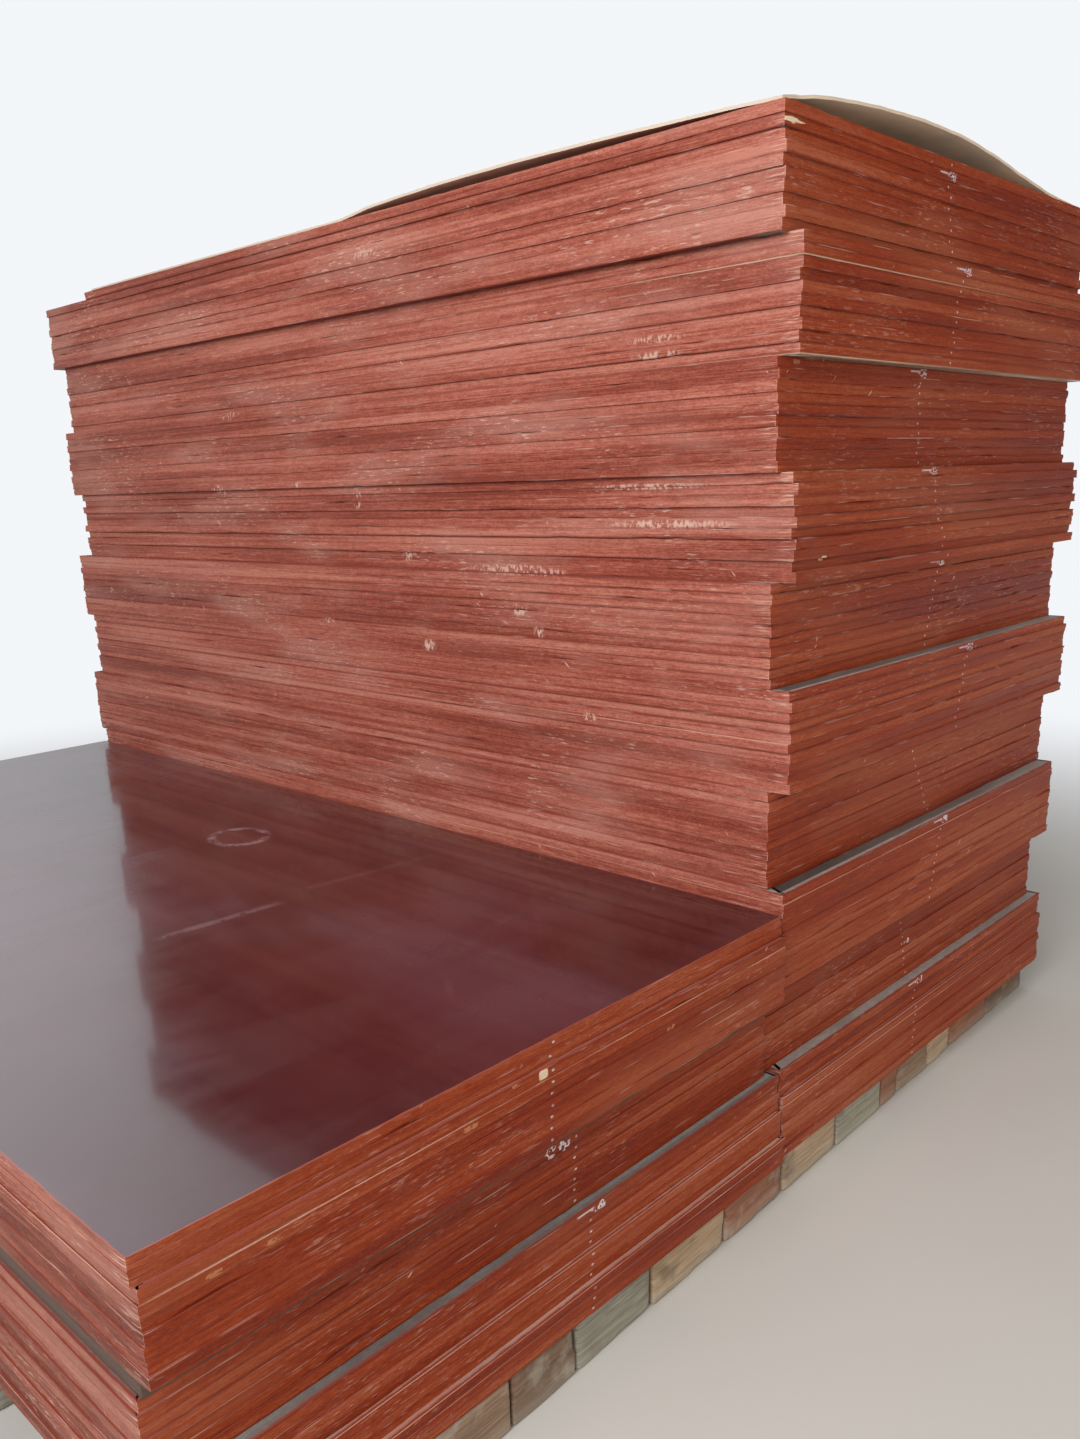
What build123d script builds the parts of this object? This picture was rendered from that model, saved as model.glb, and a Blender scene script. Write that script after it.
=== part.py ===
"""Stack of film-faced plywood sheets: a tall and a low pile side by side on rows of timber blocks.

Millimetres, +Z up. The origin is the middle of the stack's footprint, on the floor. X runs across
the sheets, from the low pile to the tall one, and Y runs along the sheets, away from the front.
While the stack is laid out, X = 0 is the seam between the piles and Y = 0 is their front, and
everything is moved to the origin at the end.
"""
from build123d import *

import os
from math import cos, pi, sin
from typing import NamedTuple

os.makedirs("parts", exist_ok=True)

# Sheets
SHEET_WIDTH = 1220.0
SHEET_LENGTH = 2440.0
SHEET_THICKNESS = 17.3
SHEET_GAP = 0.3  # air between two sheets that lie on each other
TOP_SHEET_LENGTH = 2195.0  # the last sheet of the tall pile is a shorter one
JOG_TURN = 2.4  # radians by which the direction turns in which each next sheet lies off its tier

# Timber blocks under the sheets
BLOCK_HEIGHT = 90.0
BLOCK_DEPTH = 100.0
BLOCK_GAP = 3.0  # between the ends of two blocks in a row
BLOCK_SEAT = 0.3  # air between a block and the sheet on it
FRONT_BLOCK_LENGTHS = (170.0, 168.0, 170.0, 140.0, 190.0, 211.0, 193.0, 205.0, 192.0, 74.0, 150.0, 117.0,
                       208.0, 234.0)
FRONT_ROW_INSET = -6.0  # from the piles' front to the row's face, at the row's middle
FRONT_ROW_TURN = 1.3  # degrees that the front row runs out of line with the sheets
HIDDEN_BLOCK_LENGTH = 200.0
HIDDEN_ROWS = 4
BACK_ROW_INSET = 30.0  # from the sheets' far end to the last row

# Cover board on the tall pile
BOARD_THICKNESS = 5.0
BOARD_WIDTH = 1195.0
BOARD_LENGTH = 2150.0
BOARD_INSET_X = 4.0  # from the top sheet's long edge
BOARD_INSET_Y = 8.0  # from the top sheet's front edge
BOARD_SEAT = 0.3  # air where the board lies on the top sheet
BOARD_CREST = 41.0  # how high the front edge bows up at BOW_TOP
BOARD_BOW_LENGTH = 1070.0  # from the front to where the board lies flat
BOARD_SIDE_LIFT = 17.0  # how high the long edge stands off the sheet beside the bow
SIDE_LIFT_SKEW = 1.4  # above 1, the long edge is highest nearer the back of the bow
SIDE_LIFT_FULLNESS = 0.6  # below 1, the long edge stays high for longer
BOW_STATIONS = 10  # cross-sections along the bow
BOW_STEEPNESS = 1.64  # how much steeper the bow starts than the straight line to its shoulder
BOW_SHOULDER = (0.22, 0.86)  # share of the width, share of the crest
BOW_TOP = 0.56  # share of the width where the board starts to come down
BOW_FOOT = 0.985  # share of the width where the board is down again


class Tier(NamedTuple):
    """Sheets that were laid down together, how far they lie off the seam and the front, and the jog
    by which each sheet lies off its tier."""

    name: str
    sheets: int
    x: float
    y: float
    jog: float


TALL_PILE = (
    Tier("tall_tier_01_lower", 7, 11.0, -12.0, 1.5),
    Tier("tall_tier_01_upper", 3, 11.0, -5.0, 1.5),
    Tier("tall_tier_02", 10, -9.0, 20.0, 1.5),
    Tier("tall_tier_03", 10, -13.5, -18.0, 1.0),
    Tier("tall_tier_04", 10, -9.0, 19.0, 1.5),
    Tier("tall_tier_05", 10, -1.0, -15.0, 2.5),
    Tier("tall_tier_06", 10, -2.0, 26.0, 1.5),
    Tier("tall_tier_07", 10, 20.0, -1.0, 4.5),
    Tier("tall_tier_08", 10, 7.0, 27.5, 2.0),
    Tier("tall_tier_09_lower", 8, 14.0, -6.0, 2.5),
    Tier("tall_tier_09_upper", 2, 13.5, -8.5, 1.0),
    Tier("tall_tier_10", 9, -5.5, 16.0, 2.5),
)
TOP_SHEET = Tier("tall_top_sheet", 1, -11.0, 14.0, 0.0)
LOW_PILE = (
    Tier("low_tier_01_lower", 3, 4.0, -24.0, 1.5),
    Tier("low_tier_01_middle", 3, 4.0, -16.0, 1.5),
    Tier("low_tier_01_upper", 4, 4.0, -10.0, 1.5),
    Tier("low_tier_02", 7, -18.0, 9.0, 1.5),
    Tier("low_tier_03_base", 2, -11.5, 6.0, 0.0),
    Tier("low_tier_03_lower", 7, -17.0, -30.0, 1.0),
    Tier("low_tier_03_upper", 2, -20.0, -22.0, 1.0),
)

SHEET_PITCH = SHEET_THICKNESS + SHEET_GAP
PILES_BOTTOM = BLOCK_HEIGHT + BLOCK_SEAT


def block(size, corner):
    """A plain solid of the size (x, y, z), with its lowest corner at the corner (x, y, z)."""
    return Pos(*corner) * Box(*size, align=(Align.MIN, Align.MIN, Align.MIN))


def tier_sheets(tier, left, bottom, length):
    """The sheets of one tier, from the lowest up, each a little off the one below."""
    sheets = []
    for number in range(tier.sheets):
        turn = JOG_TURN * (number + tier.sheets)
        corner = (
            left + tier.x + tier.jog * cos(turn),
            tier.y + tier.jog * sin(turn),
            bottom + number * SHEET_PITCH,
        )
        sheets.append(block((SHEET_WIDTH, length, SHEET_THICKNESS), corner))
    return sheets


def pile(tiers, left, length=SHEET_LENGTH, bottom=PILES_BOTTOM):
    """A pile's tiers on top of each other, as lists of sheets by node name."""
    nodes = {}
    for tier in tiers:
        nodes[tier.name] = tier_sheets(tier, left, bottom, length)
        bottom += tier.sheets * SHEET_PITCH
    return nodes


def pile_top(tiers):
    """The height at which the next sheet would lie on these tiers."""
    return PILES_BOTTOM + sum(tier.sheets for tier in tiers) * SHEET_PITCH


def block_row(lengths):
    """Blocks end to end along X, centred on X = 0, with their faces at Y = 0."""
    start = -(sum(lengths) + BLOCK_GAP * (len(lengths) - 1)) / 2
    blocks = []
    for length in lengths:
        blocks.append(block((length, BLOCK_DEPTH, BLOCK_HEIGHT), (start, 0, 0)))
        start += length + BLOCK_GAP
    return blocks


def front_row():
    """The row that shows: uneven blocks, a little out of line with the sheets."""
    place = Pos(0, FRONT_ROW_INSET, 0) * Rot(0, 0, FRONT_ROW_TURN)
    return [place * piece for piece in block_row(FRONT_BLOCK_LENGTHS)]


def hidden_rows():
    """The rows behind it: even blocks, spaced out to the sheets' far end."""
    row_length = 2 * SHEET_WIDTH
    count = int((row_length + BLOCK_GAP) // (HIDDEN_BLOCK_LENGTH + BLOCK_GAP))
    last = SHEET_LENGTH - BACK_ROW_INSET - BLOCK_DEPTH
    nodes = {}
    for row in range(1, HIDDEN_ROWS + 1):
        place = Pos(0, last * row / HIDDEN_ROWS, 0)
        blocks = [place * piece for piece in block_row([HIDDEN_BLOCK_LENGTH] * count)]
        nodes[f"block_row_{row + 1}"] = blocks
    return nodes


def board_edge(y, height, bow, lift):
    """The line across the board at Y = y, at this height where it lies flat."""
    shoulder_share, shoulder_rise = BOW_SHOULDER
    shoulder_x = shoulder_share * BOARD_WIDTH
    crest = BOARD_CREST * bow
    climb = BOW_STEEPNESS * (shoulder_rise * crest - lift) / shoulder_x
    start = (0, y, height + lift)
    shoulder = (shoulder_x, y, height + shoulder_rise * crest)
    top = (BOW_TOP * BOARD_WIDTH, y, height + crest)
    foot = (BOW_FOOT * BOARD_WIDTH, y, height)
    bowed = Spline(start, shoulder, top, foot, tangents=[(1, 0, climb), (1, 0, 0)])
    return [bowed, Line(foot, (BOARD_WIDTH, y, height))]


def board_section(y, bow, lift):
    """The cover board's cross-section at Y = y: bowed by a share of its crest, its long edge lifted."""
    under = board_edge(y, 0, bow, lift)
    over = board_edge(y, BOARD_THICKNESS, bow, lift)
    ends = [Line(under[0] @ 0, over[0] @ 0), Line(under[1] @ 1, over[1] @ 1)]
    return Face(Wire([*under, *over, *ends]))


def cover_board(left, bottom):
    """The loose board: bowed at its front, its long edge lifted beside the bow, and flat further back."""
    sections = []
    for station in range(BOW_STATIONS):
        share = station / BOW_STATIONS
        raised = sin(pi * share**SIDE_LIFT_SKEW) ** SIDE_LIFT_FULLNESS
        sections.append(board_section(share * BOARD_BOW_LENGTH, 1 - share**2, BOARD_SIDE_LIFT * raised))
    sections.append(board_section(BOARD_BOW_LENGTH, 0, 0))
    sections.append(board_section(BOARD_LENGTH, 0, 0))
    board = loft(sections, ruled=True)
    return Pos(left + BOARD_INSET_X, TOP_SHEET.y + BOARD_INSET_Y, bottom) * board


def stack():
    """Every piece of the stack, as lists of solids by node name, laid out from the seam and the front."""
    tall_top = pile_top(TALL_PILE)
    nodes = {"block_row_1": front_row(), **hidden_rows()}
    nodes.update(pile(LOW_PILE, -SHEET_WIDTH))
    nodes.update(pile(TALL_PILE, 0.0))
    nodes.update(pile((TOP_SHEET,), 0.0, TOP_SHEET_LENGTH, tall_top))
    board_bottom = tall_top + SHEET_THICKNESS + BOARD_SEAT
    nodes["cover_board"] = [cover_board(TOP_SHEET.x, board_bottom)]
    return nodes


def to_origin(nodes):
    """The move that brings the middle of the footprint to X = Y = 0."""
    boxes = [solid.bounding_box() for solids in nodes.values() for solid in solids]
    low_x = min(box.min.X for box in boxes)
    high_x = max(box.max.X for box in boxes)
    low_y = min(box.min.Y for box in boxes)
    high_y = max(box.max.Y for box in boxes)
    return Pos(-(low_x + high_x) / 2, -(low_y + high_y) / 2, 0)


def main():
    """Lay out the stack, move it to its origin and write one file for each node."""
    nodes = stack()
    move = to_origin(nodes)
    for name, solids in nodes.items():
        export_step(Compound(children=[move * solid for solid in solids]), f"parts/{name}.step")


main()
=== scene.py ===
"""A stack of film-faced plywood sheets on timber blocks: two piles of shifted tiers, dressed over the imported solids."""

import logging
import math
from dataclasses import dataclass
from enum import Enum
from itertools import product

import bmesh
import bpy
import numpy as np
from bpy.types import ID, Material, Mesh, Node, NodeSocket, NodeTree, Object
from mathutils import Matrix, Vector
from mathutils.bvhtree import BVHTree

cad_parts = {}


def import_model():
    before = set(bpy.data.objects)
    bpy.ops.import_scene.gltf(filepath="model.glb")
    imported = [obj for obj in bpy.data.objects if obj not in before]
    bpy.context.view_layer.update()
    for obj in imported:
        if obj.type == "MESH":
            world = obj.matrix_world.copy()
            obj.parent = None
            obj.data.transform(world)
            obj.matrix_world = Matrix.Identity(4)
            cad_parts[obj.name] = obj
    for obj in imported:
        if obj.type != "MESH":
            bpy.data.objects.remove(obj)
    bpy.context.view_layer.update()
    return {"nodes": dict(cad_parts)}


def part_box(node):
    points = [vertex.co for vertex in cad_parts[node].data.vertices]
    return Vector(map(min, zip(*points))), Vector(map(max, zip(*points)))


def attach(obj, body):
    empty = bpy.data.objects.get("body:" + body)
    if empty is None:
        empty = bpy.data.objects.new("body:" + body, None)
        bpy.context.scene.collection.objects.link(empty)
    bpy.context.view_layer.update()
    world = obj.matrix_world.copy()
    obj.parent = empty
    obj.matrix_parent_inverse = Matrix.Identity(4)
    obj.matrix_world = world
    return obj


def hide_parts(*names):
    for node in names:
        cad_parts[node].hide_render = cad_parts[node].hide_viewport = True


LOG = logging.getLogger("plywood_stack")

BODY = "root"
TOUCHING = 1e-6  # metres: places that are closer than this are one
INSET = 1e-4  # metres: how far inside a solid's rim its heights are read

Colour = tuple[float, float, float]
Triple = tuple[float, float, float]
Pair = tuple[float, float]
Faces = list[tuple[int, ...]]
Nodes = dict[str, Object]
Socket = NodeSocket


# Wiring: the nodes of a material or of a geometry tree


class Wiring:
    """Adds nodes to a tree and joins them as they are added."""

    def __init__(self, tree: NodeTree) -> None:
        """Starts on a tree."""
        self.tree = tree
        self.place: Socket | None = None

    def add(self, kind: str, inputs: dict[str | int, object] | None = None, **settings: object) -> Node:
        """Adds one node.

        Args:
            kind: the node's type name.
            inputs: values or sockets, by input name or number.
            settings: the node's own options.

        Returns:
            The new node.
        """
        node = self.tree.nodes.new(kind)
        for name, value in settings.items():
            setattr(node, name, value)
        for key, value in (inputs or {}).items():
            self.feed(node.inputs[key], value)
        return node

    def feed(self, target: Socket, value: object) -> None:
        """Joins a socket to an input, or sets the input's value."""
        if isinstance(value, Socket):
            self.tree.links.new(value, target)
        else:
            target.default_value = value

    def math(self, operation: str, *terms: object, clamp: bool = False) -> Socket:
        """Adds one sum of one to three numbers."""
        return self.add("ShaderNodeMath", dict(enumerate(terms)), operation=operation, use_clamp=clamp).outputs[0]

    def times(self, first: object, *others: object) -> Socket:
        """Multiplies numbers."""
        for other in others:
            first = self.math("MULTIPLY", first, other)
        return first

    def most(self, first: object, *others: object) -> Socket:
        """The greatest of some numbers."""
        for other in others:
            first = self.math("MAXIMUM", first, other)
        return first

    def plus(self, first: object, second: object, clamp: bool = False) -> Socket:
        """Adds two numbers."""
        return self.math("ADD", first, second, clamp=clamp)

    def minus(self, first: object, second: object) -> Socket:
        """Takes one number from another."""
        return self.math("SUBTRACT", first, second)

    def size(self, value: Socket) -> Socket:
        """A number without its sign."""
        return self.math("ABSOLUTE", value)

    def squared(self, value: Socket) -> Socket:
        """A number times itself."""
        return self.math("MULTIPLY", value, value)

    def from_middle(self, value: Socket, middle: float, half: float) -> Socket:
        """How far a value lies to either side of a middle, in half widths."""
        return self.math("MULTIPLY_ADD", value, 1.0 / half, -middle / half)

    def off(self, value: Socket, middle: float, half: float) -> Socket:
        """How far a value lies from a middle, in half widths."""
        return self.size(self.from_middle(value, middle, half))

    def total(self, *terms: tuple[object, float]) -> Socket:
        """Adds up several values, each with its weight."""
        result: object = 0.0
        for value, weight in terms:
            result = self.math("MULTIPLY_ADD", value, weight, result)
        return result

    def vector(self, operation: str, first: object, second: object) -> Socket:
        """Adds one sum of two vectors."""
        return self.add("ShaderNodeVectorMath", {0: first, 1: second}, operation=operation).outputs["Vector"]

    def scaled(self, vector: Socket, factor: object) -> Socket:
        """Multiplies a vector by one number."""
        return self.add("ShaderNodeVectorMath", {0: vector, "Scale": factor}, operation="SCALE").outputs["Vector"]

    def parts(self, vector: Socket) -> tuple[Socket, ...]:
        """Splits a vector into its x, y and z."""
        return tuple(self.add("ShaderNodeSeparateXYZ", {0: vector}).outputs)

    def joined(self, x: object, y: object, z: object) -> Socket:
        """Makes a vector of its x, y and z."""
        return self.add("ShaderNodeCombineXYZ", {0: x, 1: y, 2: z}).outputs[0]

    def noise(self, stretch: Triple, detail: float = 2.0, rough: float = 0.5, turn: object = None,
              twist: float = 0.0, at: Socket | None = None) -> Socket:
        """Adds a soft random pattern, stretched along the axes.

        Args:
            stretch: how many features a metre has along x, y and z.
            detail: how many finer layers the pattern has.
            rough: how strong the finer layers are.
            turn: a number that picks another pattern, for a sheet of its own.
            twist: how much the pattern swirls.
            at: where the pattern is read, if not at the point itself.

        Returns:
            The pattern's socket, about 0.25 to 0.75.
        """
        place = self.vector("MULTIPLY", self.place if at is None else at, stretch)
        inputs = {"Vector": place, "Scale": 1.0, "Detail": detail, "Roughness": rough, "Distortion": twist}
        if turn is None:
            return self.add("ShaderNodeTexNoise", inputs, noise_dimensions="3D").outputs[0]
        return self.add("ShaderNodeTexNoise", {**inputs, "W": turn}, noise_dimensions="4D").outputs[0]

    def span(self, value: object, low: object, high: object, start: object = 0.0, end: object = 1.0,
             smooth: bool = True) -> Socket:
        """Turns one range of values into another, and keeps it there.

        Args:
            value: the value.
            low: where the first range starts.
            high: where the first range ends.
            start: what low becomes.
            end: what high becomes.
            smooth: whether the ends are eased.

        Returns:
            The new value's socket.
        """
        kind = "SMOOTHSTEP" if smooth else "LINEAR"
        inputs = {"Value": value, "From Min": low, "From Max": high, "To Min": start, "To Max": end}
        return self.add("ShaderNodeMapRange", inputs, interpolation_type=kind).outputs[0]

    def blend(self, share: object, under: object, over: object, mode: str = "MIX") -> Socket:
        """Lays a share of one colour over another."""
        node = self.add("ShaderNodeMix", data_type="RGBA", blend_type=mode, clamp_factor=True)
        for place, value in ((0, share), (6, under), (7, over)):
            self.feed(node.inputs[place], (*value, 1.0) if isinstance(value, tuple) else value)
        return node.outputs[2]

    def layered(self, colour: Socket, *layers: tuple[object, object]) -> Socket:
        """Lays shares of other colours over a colour, one after the other."""
        for share, over in layers:
            colour = self.blend(share, colour, over)
        return colour

    def ramp(self, value: Socket, *stops: tuple[float, Colour]) -> Socket:
        """Turns a value into a colour, by places from 0 to 1 with their colours."""
        node = self.add("ShaderNodeValToRGB", {0: value})
        points = node.color_ramp.elements
        while len(points) < len(stops):
            points.new(0.5)
        for point, (place, colour) in zip(points, stops):
            point.position = place
            point.color = (*colour, 1.0)
        return node.outputs[0]

    def turned(self, axis: int) -> Socket:
        """How far the surface faces along one of the object's axes, from -1 to 1."""
        return self.parts(self.add("ShaderNodeTexCoord").outputs["Normal"])[axis]

    def facing_low(self, axis: int) -> Socket:
        """Whether the surface faces down one of the object's axes."""
        return self.span(self.turned(axis), -0.5, -0.8)

    def number(self, name: str) -> Socket:
        """A number stored on the mesh, read in a material."""
        return self.add("ShaderNodeAttribute", attribute_name=name).outputs["Fac"]

    def colour(self, name: str) -> Socket:
        """A colour stored on the mesh, read in a material."""
        return self.add("ShaderNodeAttribute", attribute_name=name).outputs["Color"]

    def stored(self, name: str, kind: str = "FLOAT") -> Socket:
        """A value stored on the mesh, read in a geometry tree."""
        return self.add("GeometryNodeInputNamedAttribute", {"Name": name}, data_type=kind).outputs["Attribute"]

    def shaped(self, kind: str, geometry: Socket, **inputs: object) -> Socket:
        """Adds a node that changes a geometry."""
        return self.add(f"GeometryNode{kind}", {"Geometry": geometry, **inputs}).outputs[0]


@dataclass
class Surface(Wiring):
    """A new material of this name: its nodes, round one surface shader."""

    name: str

    def __post_init__(self) -> None:
        """Starts the material with its shader."""
        self.material = bpy.data.materials.new(self.name)
        self.material.use_nodes = True
        self.material.node_tree.nodes.clear()
        super().__init__(self.material.node_tree)
        self.shader = self.add("ShaderNodeBsdfPrincipled")
        self.output = self.add("ShaderNodeOutputMaterial", {"Surface": self.shader.outputs[0]})
        self.place = self.add("ShaderNodeTexCoord").outputs["Object"]

    def fix(self, constants: dict[str, float]) -> None:
        """Sets the shader's constants by their sockets' names."""
        for name, value in constants.items():
            self.shader.inputs[name].default_value = value

    def done(self, colour: Socket, rough: Socket, relief: Socket, strength: float, depth: float) -> Material:
        """Gives the shader its colour, roughness and relief.

        Args:
            colour: the colour.
            rough: the roughness.
            relief: the height of the surface.
            strength: how strongly the relief shows.
            depth: how deep it is, in metres.

        Returns:
            The material.
        """
        self.feed(self.shader.inputs["Base Color"], colour)
        self.feed(self.shader.inputs["Roughness"], rough)
        bump = self.add("ShaderNodeBump", {"Strength": strength, "Distance": depth, "Height": relief})
        self.feed(self.shader.inputs["Normal"], bump.outputs[0])
        return self.material


# Finishes


@dataclass(frozen=True)
class Smear:
    """A pale patch on an upright face: its middle along the face and up, half its size, and how strong it is."""

    along: float
    height: float
    reach: float
    tall: float
    strength: float = 1.0


@dataclass
class PlyEdgePaint(Surface):
    """Red sealing paint on sawn plywood edges, streaked along the plies, worn at the arrises and chipped; painted light
    gives it a lit, paler copy with painted sheen on the long faces and a shaded, darker copy on the end faces, and
    painted shade darkens the sheets' rims where the gaps open.
    """

    name: str = "ply_edge_paint"
    shadow: Colour = (0.130, 0.022, 0.014)
    # Lit copy of the paint for the long faces: painted light, paler and with a painted sheen.
    lit_side_dark: Colour = (0.225, 0.045, 0.026)
    lit_side_body: Colour = (0.400, 0.104, 0.066)
    lit_side_light: Colour = (0.560, 0.205, 0.145)
    lit_side_veil: Colour = (0.580, 0.290, 0.225)
    # Shaded copy of the same paint for the end faces: painted shade, darker.
    shaded_end_dark: Colour = (0.165, 0.015, 0.003)
    shaded_end_body: Colour = (0.285, 0.040, 0.008)
    shaded_end_light: Colour = (0.400, 0.108, 0.050)
    shaded_end_veil: Colour = (0.350, 0.102, 0.048)
    bare: Colour = (0.700, 0.440, 0.350)
    lip: Colour = (0.600, 0.420, 0.290)
    crest: Colour = (0.620, 0.350, 0.250)
    splinter: Colour = (0.800, 0.660, 0.460)
    chipped: Colour = (0.500, 0.200, 0.090)
    # Dark colour of dirt and of painted shade, for sheets in a hollow.
    soil_and_shade: Colour = (0.075, 0.062, 0.050)
    chalk: Colour = (0.720, 0.640, 0.680)
    middle_level: float = 1.405
    gouge_slope: float = math.radians(38.0)
    smeared_face: float = 0.06
    tear: Smear = Smear(0.012, 1.8235, 0.030, 0.0050)
    dot: Smear = Smear(0.0, 0.0, 0.0032, 0.27)
    dash: Smear = Smear(-0.016, 0.35, 0.020, 0.20)
    pad: Smear = Smear(0.016, 0.0, 0.014, 1.0)
    chips: tuple[Smear, ...] = (
        Smear(0.110, 1.180, 0.010, 0.005, 0.9),
        Smear(0.280, 1.115, 0.012, 0.004, 0.7),
        Smear(0.760, 1.205, 0.010, 0.004, 0.7),
        Smear(0.060, 1.490, 0.012, 0.004, 0.7),
        Smear(0.830, 0.900, 0.010, 0.003, 0.7),
    )
    scribbles: tuple[Smear, ...] = (Smear(0.547, 0.345, 0.012, 0.008, 0.7),)
    smears: tuple[Smear, ...] = (
        Smear(-0.943, 1.545, 0.055, 0.006, 0.8),
        Smear(-0.946, 1.519, 0.050, 0.006, 0.8),
        Smear(-0.917, 1.304, 0.120, 0.005, 0.9),
        Smear(-0.961, 1.240, 0.130, 0.007),
        Smear(-0.574, 1.152, 0.110, 0.009),
        Smear(-0.669, 1.149, 0.050, 0.006, 0.9),
        Smear(-0.611, 1.075, 0.020, 0.012),
        Smear(-0.664, 1.035, 0.015, 0.010),
        Smear(-0.335, 0.986, 0.020, 0.012),
        Smear(-0.790, 0.879, 0.015, 0.008),
        Smear(-0.254, 1.173, 0.014, 0.012),
        Smear(-0.095, 1.303, 0.012, 0.008),
        Smear(-0.099, 1.281, 0.012, 0.008, 0.9),
        Smear(0.016, 1.020, 0.020, 0.006, 0.8),
        Smear(0.109, 1.329, 0.015, 0.007, 0.8),
        Smear(0.455, 1.324, 0.025, 0.012),
        Smear(0.371, 1.497, 0.030, 0.010, 0.8),
        Smear(-0.210, 1.779, 0.040, 0.009, 0.8),
    )

    def tone(self) -> tuple[Socket, Socket]:
        """The streaks of the paint over the plies: how light it is, and how high its surface stands."""
        fine = self.noise((9.0, 9.0, 520.0), 2.0, 0.65)
        band = self.noise((1.3, 1.3, 95.0), 2.0, 0.6)
        patch = self.noise((1.1, 1.1, 10.0), 1.0, 0.5)
        grain = self.noise((170.0, 170.0, 420.0), 1.0, 0.6)
        rough = self.noise((48.0, 48.0, 200.0), 2.0, 0.65)
        level = self.total((fine, 0.70), (band, 0.80), (patch, 0.90), (grain, 0.50), (rough, 0.55),
                           (self.number("tone"), 0.36))
        height = self.total((fine, 0.45), (grain, 0.50), (rough, 0.80))
        return self.minus(level, self.middle_level), height

    def wear(self, rim: Socket, at_end: Socket) -> Socket:
        """Where the paint has gone and pale wood shows.

        Args:
            rim: how near a point is to the sheet's upper or lower arris.
            at_end: whether it is on an end edge.

        Returns:
            The share of bare wood.
        """
        ragged = self.noise((11.0, 11.0, 95.0), 1.0, 0.6)
        arris = self.times(rim, self.span(ragged, 0.56, 0.70, 0.0, 0.55))
        corner = self.number("corner")
        nicked = self.noise((90.0, 90.0, 140.0), 2.0, 0.65)
        thin = self.span(self.total((corner, 1.0), (nicked, 0.5)), 1.18, 1.34, 0.0, 0.80)
        fibres = self.noise((16.0, 16.0, 330.0), 2.0, 0.65)
        dashes = self.times(self.span(corner, 0.05, 0.45), self.span(fibres, 0.54, 0.66, 0.0, 0.75))
        kept = self.span(self.noise((2.0, 2.0, 26.0), 1.0, 0.6), 0.36, 0.60, 0.15, 1.0)
        one_side = self.times(self.span(at_end, 0.0, 1.0, 1.0, 0.15), kept)
        at_corner = self.times(self.most(thin, dashes), one_side)
        chips = self.noise((34.0, 34.0, 260.0), 2.0, 0.65)
        sparse = self.noise((2.6, 2.6, 9.0), 1.0, 0.5)
        densest = self.span(at_end, 0.0, 1.0, 0.75, 0.32)
        flecks = self.times(self.span(chips, 0.58, 0.70), self.span(sparse, 0.46, 0.66, 0.0, densest))
        return self.most(arris, at_corner, flecks, self.gouges())

    def gouges(self) -> Socket:
        """The share of pale fibres in short slanting knocks."""
        x, y, z = self.parts(self.place)
        along = self.plus(x, y)
        cos, sin = math.cos(self.gouge_slope), math.sin(self.gouge_slope)
        down, across = self.total((along, cos), (z, sin)), self.total((along, -sin), (z, cos))
        strokes = self.noise((34.0, 150.0, 1.0), 1.0, 0.5, at=self.joined(down, across, 0.0))
        sparse = self.noise((5.0, 5.0, 14.0), 0.0, 0.5)
        return self.times(self.span(strokes, 0.72, 0.78), self.span(sparse, 0.60, 0.70))

    def patches(self, along: Socket, spots: tuple[Smear, ...], boxy: bool = False) -> Socket:
        """Soft patches on an upright face.

        Args:
            along: the place along the face.
            spots: the patches.
            boxy: whether the patches are square and not round.

        Returns:
            How deep a place lies in the nearest patch.
        """
        height = self.parts(self.place)[2]
        result: object = 0.0
        for spot in spots:
            side = self.squared(self.from_middle(along, spot.along, spot.reach))
            up = self.from_middle(height, spot.height, spot.tall)
            if boxy:
                side, up = self.squared(side), self.squared(up)
            away = self.math("MULTIPLY_ADD", up, up, side)
            result = self.most(result, self.span(away, 0.1, 1.8, spot.strength, 0.0))
        return result

    def smeared(self) -> Socket:
        """The share of pale scuffing at known places of the long face."""
        if not self.smears:
            return self.times(0.0, 0.0)
        x, y, _ = self.parts(self.place)
        dashes = self.span(self.noise((150.0, 150.0, 90.0), 1.0, 0.6), 0.44, 0.62)
        on_side = self.math("LESS_THAN", self.size(x), self.smeared_face)
        return self.times(self.patches(y, self.smears), dashes, self.facing_low(0), on_side)

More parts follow.
